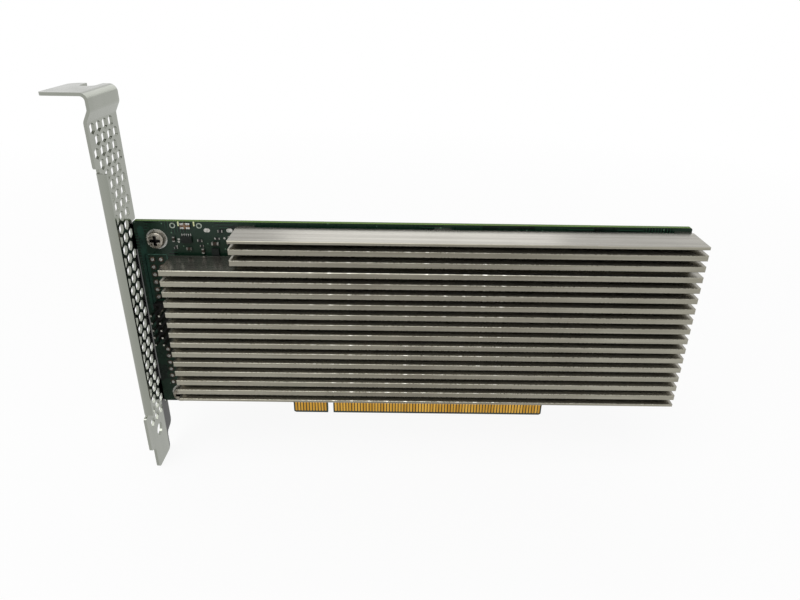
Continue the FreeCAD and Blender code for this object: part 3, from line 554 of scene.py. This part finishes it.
class Piece:
    """One mesh that is shaped with Blender's own operators."""

    def __init__(self, thing: bpy.types.Object) -> None:
        """Wraps a mesh object that is in place."""
        self.thing = thing

    @classmethod
    def block(cls, name: str, low: Vector, high: Vector) -> "Piece":
        """Adds a block between two corners and returns it."""
        deselect_all()
        bpy.ops.mesh.primitive_cube_add(size=1, location=(low + high) / 2, scale=high - low)
        return cls(bpy.context.object).settled(name)

    @classmethod
    def rod(cls, name: str, radius: float, start: Vector, end: Vector,
            sides: int = 32) -> "Piece":
        """Adds a round bar between two points on one line along Y.

        Args:
            name: the new piece's name.
            radius: the bar's radius.
            start: the middle of one end.
            end: the middle of the other end.
            sides: how many flat sides stand for the round.

        Returns:
            The new piece.
        """
        deselect_all()
        bpy.ops.mesh.primitive_cylinder_add(
            vertices=sides, radius=radius, depth=(end - start).length,
            location=(start + end) / 2, rotation=(math.pi / 2, 0, 0))
        return cls(bpy.context.object).settled(name)

    @classmethod
    def from_node(cls, node: str, name: str) -> "Piece":
        """Copies a CAD node, welds its triangles and clears its flat faces of inner edges."""
        deselect_all()
        source = frame["nodes"][node]
        source.select_set(True)
        bpy.context.view_layer.objects.active = source
        bpy.ops.object.duplicate()
        bpy.ops.object.parent_clear(type="CLEAR_KEEP_TRANSFORM")
        copy = bpy.context.object
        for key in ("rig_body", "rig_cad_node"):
            if key in copy:
                del copy[key]
        copy.name = name
        bpy.ops.object.mode_set(mode="EDIT")
        bpy.ops.mesh.select_all(action="SELECT")
        bpy.ops.mesh.remove_doubles(threshold=WELD)
        bpy.ops.mesh.dissolve_limited(angle_limit=FLAT_ANGLE)
        bpy.ops.object.mode_set(mode="OBJECT")
        return cls(copy)

    def settled(self, name: str) -> "Piece":
        """Names the piece and puts its place into its mesh."""
        self.thing.name = name
        self.activate()
        bpy.ops.object.transform_apply(location=True, rotation=True, scale=True)
        return self

    def activate(self) -> None:
        """Makes this the only selected object."""
        deselect_all()
        self.thing.select_set(True)
        bpy.context.view_layer.objects.active = self.thing

    def pick_faces(self, wanted: Test) -> None:
        """Enters edit mode with only the faces selected whose middle and normal are wanted."""
        self.activate()
        bpy.ops.object.mode_set(mode="EDIT")
        bpy.ops.mesh.select_mode(type="FACE")
        bpy.ops.mesh.select_all(action="DESELECT")
        shape = bmesh.from_edit_mesh(self.thing.data)
        for face in shape.faces:
            face.select_set(wanted(face.calc_center_median(), face.normal))
        bmesh.update_edit_mesh(self.thing.data)

    def pick_edges(self, wanted: Test) -> None:
        """Enters edit mode with only the edges selected whose middle and direction are wanted."""
        self.activate()
        bpy.ops.object.mode_set(mode="EDIT")
        bpy.ops.mesh.select_mode(type="EDGE")
        bpy.ops.mesh.select_all(action="DESELECT")
        shape = bmesh.from_edit_mesh(self.thing.data)
        for edge in shape.edges:
            first, second = (v.co for v in edge.verts)
            edge.select_set(wanted((first + second) / 2, (second - first).normalized()))
        bmesh.update_edit_mesh(self.thing.data)

    def round_edges(self, wanted: Test, width: float, segments: int = 3) -> "Piece":
        """Rounds the wanted edges to a radius."""
        self.pick_edges(wanted)
        bpy.ops.mesh.bevel(offset=width, offset_type="OFFSET", segments=segments, affect="EDGES")
        bpy.ops.object.mode_set(mode="OBJECT")
        return self

    def inset_and_push(self, wanted: Test, inset: float, push: Vector) -> "Piece":
        """Insets the wanted faces and moves the inner faces along a vector."""
        self.pick_faces(wanted)
        bpy.ops.mesh.inset(thickness=inset, depth=0)
        bpy.ops.mesh.extrude_region_move(TRANSFORM_OT_translate={"value": push})
        bpy.ops.object.mode_set(mode="OBJECT")
        return self

    def modified(self, kind: str, **settings: Any) -> "Piece":
        """Applies one modifier with its settings."""
        self.activate()
        modifier = self.thing.modifiers.new(kind.title(), kind)
        for key, value in settings.items():
            setattr(modifier, key, value)
        bpy.ops.object.modifier_apply(modifier=modifier.name)
        return self

    def eased(self, width: float, segments: int = 2, angle: float = 30.0) -> "Piece":
        """Breaks every sharp edge by a small width and keeps the flat faces flat."""
        self.smoothed()
        return self.modified("BEVEL", width=width, segments=segments, limit_method="ANGLE",
                             angle_limit=math.radians(angle), use_clamp_overlap=True,
                             harden_normals=True)

    def smoothed(self, angle: float = 35.0) -> "Piece":
        """Shades the piece smooth up to an angle."""
        self.activate()
        bpy.ops.object.shade_smooth_by_angle(angle=math.radians(angle))
        return self

    def cut_by(self, cutter: "Piece") -> "Piece":
        """Cuts another piece out of this one and removes the cutter."""
        self.modified("BOOLEAN", operation="DIFFERENCE", object=cutter.thing, solver="EXACT")
        bpy.data.objects.remove(cutter.thing)
        return self

    def joined_with(self, others: Iterable["Piece"]) -> "Piece":
        """Takes other pieces into this mesh."""
        self.activate()
        for other in others:
            other.thing.select_set(True)
        bpy.ops.object.join()
        return self

    @classmethod
    def merged(cls, name: str, pieces: Sequence["Piece"]) -> "Piece":
        """Joins the pieces into one with a new name."""
        whole = pieces[0].joined_with(pieces[1:])
        whole.thing.name = name
        return whole

    def copied_to(self, shifts: Sequence[Vector]) -> "Piece":
        """Repeats this piece at each shift, each copy with its own mesh, and joins them all.

        Args:
            shifts: how far each copy stands from the first one's modelled place.

        Returns:
            The piece with all its copies in one mesh.
        """
        copies = []
        for shift in shifts[1:]:
            self.activate()
            bpy.ops.object.duplicate()
            bpy.ops.transform.translate(value=shift)
            bpy.ops.object.transform_apply(location=True, rotation=False, scale=False)
            copies.append(Piece(bpy.context.object))
        self.activate()
        bpy.ops.transform.translate(value=shifts[0])
        bpy.ops.object.transform_apply(location=True, rotation=False, scale=False)
        return self.joined_with(copies) if copies else self

    def finished(self, finish: Finish, *nodes: str) -> "Piece":
        """Gives the piece its material and its body, and hides the CAD nodes that it stands for."""
        thing = self.thing
        thing.data.materials.clear()
        thing.data.materials.append(material_of(finish))
        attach(thing, "root")
        if nodes:
            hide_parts(*nodes)
        triangles = sum(len(face.vertices) - 2 for face in thing.data.polygons)
        log.info("%s: %d triangles, %s", thing.name, triangles, finish.name)
        return self

    def also_dressed(self, finish: Finish, wanted: Test) -> "Piece":
        """Gives the wanted faces a second material."""
        self.thing.data.materials.append(material_of(finish))
        number = len(self.thing.data.materials) - 1
        for face in self.thing.data.polygons:
            if wanted(Vector(face.center), Vector(face.normal)):
                face.material_index = number
        return self


made_materials: dict[str, bpy.types.Material] = {}


def material_of(finish: Finish) -> bpy.types.Material:
    """Returns the finish's material, made the first time it is asked for."""
    if finish.name not in made_materials:
        made_materials[finish.name] = finish.build()
    return made_materials[finish.name]


def middle(box: tuple[Vector, Vector]) -> Vector:
    """Returns the middle of a box."""
    return (box[0] + box[1]) / 2


def at_depth(point: Vector, y: float) -> Vector:
    """Returns the point moved to another place on Y."""
    return Vector((point.x, y, point.z))


def along_y(_: Vector, way: Vector) -> bool:
    """Tells whether an edge or a normal lies along Y."""
    return abs(way.y) > 0.99


def faces_front(_: Vector, normal: Vector) -> bool:
    """Tells whether a face looks to the component side."""
    return normal.y < -0.9


def rim_at(y: float, reach: float) -> Test:
    """Returns a test for edges across Y that lie within a reach of one depth."""
    return lambda spot, way: abs(way.y) < 0.1 and abs(spot.y - y) < reach


# ---------------------------------------------------------------- sub-assemblies
@dataclass
class SheetBracket:
    """Full-height bracket, bent from nickel-plated sheet."""

    edge_break: float = 0.12 * MM

    def build(self) -> None:
        """Rounds the sheared edges of the sheet."""
        sheet = Piece.from_node("bracket", "vented_bracket")
        sheet.eased(self.edge_break)
        sheet.finished(BRACKET_STEEL, "bracket")


@dataclass
class FinnedHeatSink:
    """One-piece aluminium heat sink with lengthwise fins."""

    edge_break: float = 0.13 * MM
    front_reach: float = 0.01 * MM

    def build(self) -> None:
        """Breaks the front edges and gives each kind of face its finish."""
        sink = Piece.from_node("heat_sink", "finned_heat_sink")
        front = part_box("heat_sink")[0].y
        sink.round_edges(rim_at(front, self.front_reach), self.edge_break, 1)
        sink.smoothed()
        sink.finished(FINS, "heat_sink")
        sink.also_dressed(EXTRUDED, lambda _, normal: abs(normal.z) > 0.9)
        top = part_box("heat_sink")[1].z - self.edge_break * 2
        sink.also_dressed(BURR_AND_GLINTS, lambda spot, normal: (
            normal.y < -0.2 and abs(normal.z) > 0.2 and spot.z < top))


@dataclass
class PrintedBoard:
    """Circuit board with its gold contacts, its tracks and its printing."""

    finger_end: float = 0.15 * MM
    via_radius: float = 0.22 * MM
    via_height: float = 0.02 * MM
    track_width: float = 0.18 * MM
    track_height: float = 0.012 * MM
    track_lengths: tuple[float, ...] = (3.1 * MM, 2.2 * MM, 3.8 * MM, 2.7 * MM)
    ink_height: float = 0.02 * MM
    bar_rounding: float = 0.45
    ring_shifts: tuple[float, float] = (-3.85 * MM, 4.1 * MM)
    ring_size: tuple[float, float] = (1.7 * MM, 1.7 * MM)
    ring_line: float = 0.3 * MM
    bar_shifts: tuple[float, float] = (-2.05 * MM, 2.6 * MM)
    bar_size: tuple[float, float] = (0.45 * MM, 1.5 * MM)
    bar_drop: float = 0.05 * MM
    outline_gap: float = 0.75 * MM
    outline_width: float = 0.22 * MM
    strip_inset: float = 0.95 * MM
    strip_drop: float = 1.6 * MM
    strip_size: tuple[float, float] = (1.9 * MM, 40.0 * MM)
    dot_radius: float = 0.33 * MM
    corner_vias: tuple[tuple[float, float], ...] = (
        (13.0, 5.7), (13.9, 5.8), (12.9, 6.5), (12.1, 8.0), (20.0, 8.7), (23.0, 6.6), (24.7, 6.6),
        (24.0, 5.3), (25.0, 5.3), (26.8, 5.2), (23.1, 9.2), (22.0, 12.1), (24.1, 12.1))

    def build_laminate(self) -> None:
        """Makes the lacquered laminate with its bare cut edges; the left cut edge keeps the dark
        lacquer as painted shade.
        """
        board = Piece.from_node("circuit_board", "printed_board")
        board.smoothed()
        board.finished(MASK, "circuit_board")
        # painted shade: the left cut edge beside the bracket keeps the dark lacquer, not the bare
        # edge's yellow-green
        board.also_dressed(CUT_EDGE,
                           lambda _, normal: abs(normal.y) < 0.9 and normal.x > -0.9)

    def build_contacts(self, node: str, name: str, outwards: float) -> None:
        """Makes one side's row of gold contacts.

        Args:
            node: the CAD node of that side's contacts.
            name: the new piece's name.
            outwards: 1 where the side faces +Y, and -1 where it faces -Y.
        """
        boxes = island_boxes(node)
        low, high = boxes[0]
        thickness = high.y - low.y
        outside = high.y if outwards > 0 else low.y
        finger = Piece.block(name, low, high)
        finger.round_edges(along_y, self.finger_end, 2)
        finger.round_edges(rim_at(outside, thickness / 4), thickness / 3, 1)
        finger.copied_to([box[0] - low for box in boxes])
        finger.smoothed()
        finger.finished(GOLD, node)

    def build_tracks(self) -> None:
        """Lays the short tracks that run up from the contacts, each ending in a plated hole."""
        fingers = island_boxes("contacts_component_side")
        face = fingers[0][1].y
        half = self.track_width / 2
        tracks = []
        holes = []
        for number, finger in enumerate(fingers):
            length = self.track_lengths[number % len(self.track_lengths)]
            end = Vector((middle(finger).x, face, finger[1].z + length))
            start = Vector((end.x, face, finger[1].z - half))
            track = Piece.block("contact_track", start - Vector((half, self.track_height, 0)),
                                end + Vector((half, self.track_height, 0)))
            tracks.append(track.round_edges(
                lambda spot, way: abs(way.z) > 0.9 and spot.y < face, self.track_height, 1))
            holes.append(end)
        Piece.merged("contact_tracks", tracks).finished(TRACK_COPPER)
        self.round_marks("plated_holes", self.via_radius, 0.5, holes).finished(TRACK_COPPER)

    def round_marks(self, name: str, radius: float, hollow: float,
                    places: Sequence[Vector]) -> Piece:
        """Makes low round marks with a sunk middle.

        Args:
            name: the new piece's name.
            radius: radius of one mark.
            hollow: width of the rim, as a share of the radius.
            places: where they stand on the board's face.

        Returns:
            All marks in one piece.
        """
        rise = Vector((0, self.via_height, 0))
        mark = Piece.rod(name, radius, -rise, rise, 12)
        mark.inset_and_push(faces_front, radius * hollow, rise)
        return mark.copied_to(places)

    def ink_bar(self, name: str, x: float, z: float, wide: float, tall: float) -> Piece:
        """Prints one bar with rounded ends.

        Args:
            name: the new piece's name.
            x: its middle, along the card.
            z: its middle, up the card.
            wide: its width along the card.
            tall: its height.

        Returns:
            The bar, lying on the component side.
        """
        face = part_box("circuit_board")[0].y
        spot = Vector((x, face, z))
        half = Vector((wide / 2, self.ink_height, tall / 2))
        bar = Piece.block(name, spot - half, spot + half)
        return bar.round_edges(along_y, min(wide, tall) * self.bar_rounding, 3)

    def build_printing(self) -> None:
        """Prints the two rings and leaves the two bare bars by the status light."""
        low, high = (Vector(corner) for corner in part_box("indicator_body"))
        light = (low + high) / 2
        rings = []
        for shift in self.ring_shifts:
            x = light.x + shift
            ring = self.ink_bar("printed_ring", x, light.z, *self.ring_size)
            inner = self.ink_bar("ring_hole", x, light.z,
                                 *(size - 2 * self.ring_line for size in self.ring_size))
            inner.activate()
            bpy.ops.transform.resize(value=(1, 4, 1), center_override=(
                light.x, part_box("circuit_board")[0].y, light.z))
            bpy.ops.object.transform_apply(location=True, rotation=True, scale=True)
            rings.append(ring.cut_by(inner))
        Piece.merged("printed_rings", rings).finished(INK)
        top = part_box("circuit_board")[1].z
        height = top - self.bar_size[1] / 2 - self.bar_drop
        bars = [self.ink_bar("printed_bar", light.x + shift, height, *self.bar_size)
                for shift in self.bar_shifts]
        Piece.merged("bare_laminate_bars", bars).finished(PALE_LAMINATE)

    def build_header_outline(self) -> None:
        """Prints the thin outline round the header and its holes, open at the bottom."""
        block_low, block_high = (Vector(corner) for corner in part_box("header_body"))
        pads_high = Vector(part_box("solder_pads")[1])
        left, right = block_low.x - self.outline_gap, block_high.x + self.outline_gap
        upper, lower = pads_high.z + self.outline_gap, block_low.z
        side = (upper + lower) / 2, self.outline_width, upper - lower
        lines = [self.ink_bar("outline", (left + right) / 2, upper, right - left,
                              self.outline_width),
                 self.ink_bar("outline", left, *side), self.ink_bar("outline", right, *side)]
        # painted shade: the outline's white ink is coloured dark green-grey
        Piece.merged("header_outline", lines).finished(SHADED_INK)

    def build_earth_strip(self) -> None:
        """Lays the broad copper strip that runs down the board beside the bracket."""
        low, high = (Vector(corner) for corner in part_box("circuit_board"))
        x = low.x + self.strip_inset + self.strip_size[0] / 2
        z = high.z - self.strip_drop - self.strip_size[1] / 2
        self.ink_bar("earth_strip", x, z, *self.strip_size).finished(EARTH_COPPER)

    def build_vias(self) -> None:
        """Puts bare tinned vias between the chips of the free corner."""
        low, high = (Vector(corner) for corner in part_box("circuit_board"))
        places = [Vector((low.x + along * MM, low.y, high.z - down * MM))
                  for along, down in self.corner_vias]
        self.round_marks("corner_vias", self.dot_radius, 0.8, places).finished(TINNED)

    def build(self) -> None:
        """Makes the board and what is plated or printed on it."""
        self.build_laminate()
        self.build_printing()
        self.build_header_outline()
        self.build_earth_strip()
        self.build_vias()
        self.build_contacts("contacts_component_side", "gold_contacts_front", -1)
        self.build_contacts("contacts_solder_side", "gold_contacts_rear", 1)
        self.build_tracks()


@dataclass
class CrossScrew:
    """A screw with a domed head, a cross recess and a chamfered tip.

    Attributes:
        node: the CAD node whose screws it replaces.
        name: the new piece's name.
        head: 1 where the head faces +Y, and -1 where it faces -Y.
        shank_radius: radius of the shank.
        head_height: height of the head.
    """

    node: str
    name: str
    head: float
    shank_radius: float
    head_height: float
    slot_share: float = 0.62
    slot_wall_share: float = 1.0 / 2.6
    slot_depth_share: float = 0.75
    dome_share: float = 0.34
    seat_share: float = 0.06
    recess_start: float = 0.15
    tip_chamfer: float = 0.18 * MM

    def build(self) -> None:
        """Models one screw and copies it to each place."""
        boxes = island_boxes(self.node)
        low, high = boxes[0]
        centre = middle((low, high))
        radius = (high.x - low.x) / 2
        top = high.y if self.head > 0 else low.y
        tip = low.y if self.head > 0 else high.y
        seat = top - self.head * self.head_height
        near = self.head_height / 20
        cap = Piece.rod(self.name, radius, at_depth(centre, seat), at_depth(centre, top), 40)
        cap.round_edges(rim_at(top, near), self.head_height * self.dome_share, 5)
        cap.round_edges(rim_at(seat, near), self.head_height * self.seat_share, 1)
        depth = self.slot_depth_share * self.head_height
        half = self.slot_share * radius
        wall = self.slot_wall_share * radius / 2
        for across, up in ((half, wall), (wall, half)):
            corner = Vector((across, depth, up))
            spot = at_depth(centre, top)
            cap.cut_by(Piece.block("slot", spot - corner, spot + corner))
        shank = Piece.rod("shank", self.shank_radius, at_depth(centre, seat),
                          at_depth(centre, tip), 24)
        shank.round_edges(rim_at(tip, near), self.tip_chamfer, 1)
        cap.joined_with([shank])
        cap.copied_to([middle(box) - centre for box in boxes])
        cap.smoothed(30)
        cap.finished(SCREW_STEEL, self.node)
        places = [middle(box) for box in boxes]
        reach = half * 1.02

        def in_shaded_recess(spot: Vector, normal: Vector) -> bool:
            """Tells whether a face is a wall or the bottom of a recess, which gets painted shade.
            """
            down = self.head * (top - spot.y)
            sunk = self.recess_start * self.head_height < down < depth * 1.01
            inside = any(max(abs(spot.x - place.x), abs(spot.z - place.z)) < reach
                         for place in places)
            return sunk and inside and (abs(normal.y) < 0.1 or abs(down - depth) < 0.02 * MM)

        # painted shade, partly oil: the recess walls and bottom get a near-black finish
        cap.also_dressed(RECESS_OIL_AND_SHADE, in_shaded_recess)


@dataclass
class PinHeader:
    """Two-column pin header with its soldered tails."""

    body_break: float = 0.1 * MM
    pin_tip: float = 0.18 * MM
    fillet_steps: int = 6
    fillet_foot: float = 0.06 * MM
    fillet_rise: float = 1.7
    fillet_taper: tuple[float, float] = (0.2, 0.6)
    dish: tuple[float, float] = (0.3 * MM, 0.05 * MM)
    bead: tuple[float, float] = (0.28 * MM, -0.04 * MM)
    bare_solder: float = 0.2 * MM

    def build_body(self) -> None:
        """Breaks the moulded block's edges."""
        block = Piece.from_node("header_body", "header_block")
        block.eased(self.body_break, 1).finished(NYLON, "header_body")

    def build_pins(self) -> None:
        """Makes one square pin with four-sided tips and copies it."""
        boxes = island_boxes("header_pins")
        low, high = boxes[0]
        pin = Piece.block("gold_pins", low, high)
        pin.pick_faces(along_y)
        bpy.ops.mesh.bevel(offset=self.pin_tip, offset_type="OFFSET", segments=2, affect="EDGES")
        bpy.ops.object.mode_set(mode="OBJECT")
        pin.copied_to([box[0] - low for box in boxes])
        pin.finished(PIN_TIN, "header_pins")

    def build_solder(self) -> None:
        """Turns one hollow-sided solder fillet round each tail."""
        boxes = island_boxes("header_solder")
        low, high = boxes[0]
        centre = middle((low, high))
        fillet = Piece.rod("header_joints", (high.x - low.x) / 2, at_depth(centre, low.y),
                           at_depth(centre, low.y + self.fillet_foot), 20)
        step_height = (high.y - low.y - self.fillet_foot) * self.fillet_rise / self.fillet_steps
        taper, easing = self.fillet_taper
        for step in range(1, self.fillet_steps + 1):
            share = step / self.fillet_steps
            top = max(v.co.y for v in fillet.thing.data.vertices)
            fillet.pick_faces(
                lambda spot, normal: normal.y > 0.9 and abs(spot.y - top) < 0.01 * MM)
            bpy.ops.mesh.extrude_region_move(
                TRANSFORM_OT_translate={"value": (0, step_height * share, 0)})
            scale = 1 - taper * (1 - easing * share)
            bpy.ops.transform.resize(value=(scale, 1, scale),
                                     center_override=at_depth(centre, top))
            bpy.ops.object.mode_set(mode="OBJECT")
        fillet.copied_to([middle(box) - centre for box in boxes])
        fillet.smoothed(60)
        fillet.finished(SOLDER, "header_solder")

    def build_filled_holes(self) -> None:
        """Makes one shallow dome of solder and copies it to each unused hole."""
        boxes = island_boxes("solder_pads")
        low, high = boxes[0]
        centre = middle((low, high))
        height = high.y - low.y
        dome = Piece.rod("filled_holes", (high.x - low.x) / 2, at_depth(centre, high.y),
                         at_depth(centre, low.y), 24)
        dome.round_edges(rim_at(low.y, height / 4), height * 0.9, 3)
        dome.inset_and_push(faces_front, self.dish[0], Vector((0, self.dish[1], 0)))
        dome.inset_and_push(
            lambda spot, normal: normal.y < -0.9 and (spot - centre).xz.length < 0.01 * MM,
            self.bead[0], Vector((0, self.bead[1], 0)))
        places = [middle(box) for box in boxes]
        dome.copied_to([place - centre for place in places])
        dome.smoothed(50)
        dome.finished(FLUXED_SOLDER, "solder_pads")
        dome.also_dressed(SOLDER, lambda spot, normal: normal.y < -0.9 and any(
            (spot - place).xz.length < self.bare_solder for place in places))

    def build(self) -> None:
        """Makes the header and the holes beside it."""
        self.build_body()
        self.build_pins()
        self.build_solder()
        self.build_filled_holes()


@dataclass
class RefinedParts:
    """Parts whose plain shape is right and only needs broken edges.

    Attributes:
        parts: CAD node, new name, finish and edge break of each.
    """

    parts: tuple[tuple[str, str, Finish, float], ...] = (
        ("screw_pads", "screw_rings", TINNED, 0.01 * MM),
        ("test_pads", "oval_pads", TINNED, 0.02 * MM),
        ("spring_plate", "rear_spring", SPRING_STEEL, 0.1 * MM),
        ("spring_cushion", "rear_cushion", FILM, 0.05 * MM),
        ("decoupling_capacitors", "rear_capacitors", CERAMIC, 0.06 * MM),
        ("memory_chips", "memory_packages", EPOXY, 0.08 * MM),
        ("memory_pads", "memory_gap_pads", GAP_PAD, 0.04 * MM),
        ("power_inductors", "moulded_inductors", IRON_POWDER, 0.3 * MM),
        ("power_stages", "power_packages", EPOXY, 0.06 * MM),
        ("power_stage_pads", "power_gap_pads", GAP_PAD, 0.04 * MM),
        ("bulk_capacitors", "polymer_capacitors", RESIN_CASE, 0.15 * MM),
        ("voltage_controller", "controller_package", EPOXY, 0.06 * MM),
        ("boot_memory", "boot_package", EPOXY, 0.06 * MM),
        ("clock_crystal", "crystal_package", CAN_LID, 0.08 * MM),
        ("processor_substrate", "processor_carrier", SUBSTRATE, 0.08 * MM),
        ("processor_die", "bare_die", SILICON, 0.02 * MM),
        ("thermal_compound", "compound_layer", PASTE, 0.02 * MM),
        ("indicator_body", "light_body", LENS, 0.12 * MM),
        ("indicator_terminals", "light_terminals", SOLDER, 0.08 * MM),
        ("sensor_chip", "sensor_package", SMALL_EPOXY, 0.06 * MM),
        ("sensor_leads", "sensor_feet", SOLDER, 0.04 * MM),
        ("interface_chip", "interface_package", SMALL_EPOXY, 0.06 * MM),
        ("chip_capacitors", "ceramic_chips", CERAMIC, 0.05 * MM),
        ("chip_resistors", "film_chips", RESISTOR, 0.04 * MM),
        ("chip_terminals", "chip_ends", CHIP_END, 0.07 * MM),
    )

    def build(self) -> None:
        """Breaks the edges of each part."""
        for node, name, finish, edge_break in self.parts:
            Piece.from_node(node, name).eased(edge_break).finished(finish, node)


# ---------------------------------------------------------------- stage
@dataclass
class Stage:
    """White floor and soft light at a plain level, with the camera in front and above."""

    floor_size: float = 6.0
    camera_place: tuple[float, float, float] = (22.35 * MM, -178.7 * MM, 126.1 * MM)
    camera_turn: tuple[float, float, float] = (63.985, -0.795, 0.069)
    lens: float = 28.22
    sensor: float = 36.0
    sky: float = 0.6
    floor_glow: float = 0.88
    shadow_reach: tuple[float, float] = (0.2, 0.6)
    lamps: tuple[tuple[str, tuple[float, float, float], float, float], ...] = (
        ("front_lamp", (-0.15, -0.45, 0.75), 0.7, 4.0),
        ("rear_lamp", (0.06, 0.75, 0.4), 0.45, 0.38),
    )

    def white_when_seen(self, tree: Tree) -> Socket:
        """Returns 1 for rays from the eye, mirrors and glass, and 0 for light on surfaces."""
        path = add_node(tree, "ShaderNodeLightPath").outputs
        seen = path["Is Camera Ray"]
        for ray in ("Is Glossy Ray", "Is Transmission Ray"):
            seen = add_node(tree, "ShaderNodeMath", {0: seen, 1: path[ray]},
                            operation="MAXIMUM").outputs[0]
        return seen

    def build_world(self) -> None:
        """Makes the sky: white where it is seen, softer where it lights."""
        world = bpy.data.worlds.new("soft_white")
        world.use_nodes = True
        tree = world.node_tree
        tree.nodes.clear()
        strength = add_node(tree, "ShaderNodeMapRange", {
            "Value": self.white_when_seen(tree), "To Min": self.sky, "To Max": 1.0})
        sky = add_node(tree, "ShaderNodeBackground", {
            "Color": (1, 1, 1, 1), "Strength": strength.outputs["Result"]})
        add_node(tree, "ShaderNodeOutputWorld", {"Surface": sky.outputs["Background"]})
        bpy.context.scene.world = world

    def build_floor(self) -> bpy.types.Object:
        """Makes the white floor, which keeps the card's shadow, and returns it."""
        deselect_all()
        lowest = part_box("bracket")[0].z
        bpy.ops.mesh.primitive_plane_add(size=self.floor_size, location=(0, 0, lowest))
        floor = bpy.context.object
        floor.name = "floor"
        material = bpy.data.materials.new("white_floor")
        material.use_nodes = True
        tree = material.node_tree
        tree.nodes.clear()
        seen = self.white_when_seen(tree)
        paint = add_node(tree, "ShaderNodeBsdfDiffuse", {"Color": (0.9, 0.9, 0.9, 1)})
        glow = add_node(tree, "ShaderNodeEmission", {"Color": (1, 1, 1, 1), "Strength": seen})
        spot = add_node(tree, "ShaderNodeTexCoord").outputs["Object"]
        away = add_node(tree, "ShaderNodeVectorMath", {0: spot}, operation="LENGTH")
        near, far = self.shadow_reach
        even = add_node(tree, "ShaderNodeMapRange", {
            "Value": away.outputs["Value"], "From Min": near, "From Max": far,
            "To Min": self.floor_glow, "To Max": 1.0})
        share = add_node(tree, "ShaderNodeMath", {0: seen, 1: even.outputs[0]},
                         operation="MULTIPLY")
        mixed = add_node(tree, "ShaderNodeMixShader", {
            0: share.outputs[0], 1: paint.outputs[0], 2: glow.outputs[0]})
        add_node(tree, "ShaderNodeOutputMaterial", {"Surface": mixed.outputs[0]})
        floor.data.materials.append(material)
        return floor

    def build_lamps(self) -> None:
        """Hangs one broad soft lamp in front of the card and one behind it."""
        for name, place, size, power in self.lamps:
            data = bpy.data.lights.new(name, "AREA")
            data.size = size
            data.energy = power
            lamp = bpy.data.objects.new(name, data)
            lamp.location = place
            lamp.rotation_euler = (-Vector(place)).to_track_quat("-Z", "Y").to_euler()
            bpy.context.scene.collection.objects.link(lamp)

    def build_camera(self) -> None:
        """Sets the camera."""
        data = bpy.data.cameras.new("view")
        data.sensor_width = self.sensor
        data.lens = self.lens
        data.clip_start = 0.01
        camera = bpy.data.objects.new("view", data)
        camera.location = self.camera_place
        camera.rotation_euler = [math.radians(angle) for angle in self.camera_turn]
        bpy.context.scene.collection.objects.link(camera)
        bpy.context.scene.camera = camera

    def build(self) -> None:
        """Builds the whole stage."""
        self.build_world()
        self.build_lamps()
        self.build_camera()
        self.build_floor()
        bpy.context.scene.view_settings.view_transform = "Standard"


def main() -> None:
    """Builds the card and its stage."""
    logging.basicConfig(level=logging.INFO, format="%(name)s: %(message)s")
    SheetBracket().build()
    FinnedHeatSink().build()
    PrintedBoard().build()
    CrossScrew("bracket_screws", "bracket_cross_screws", -1, 1.45 * MM, 1.8 * MM).build()
    CrossScrew("heat_sink_screws", "sink_cross_screws", 1, 1.2 * MM, 1.2 * MM).build()
    CrossScrew("spring_screws", "spring_cross_screws", 1, 1.2 * MM, 0.6 * MM).build()
    PinHeader().build()
    RefinedParts().build()
    Stage().build()


if __name__ == "__main__":
    main()
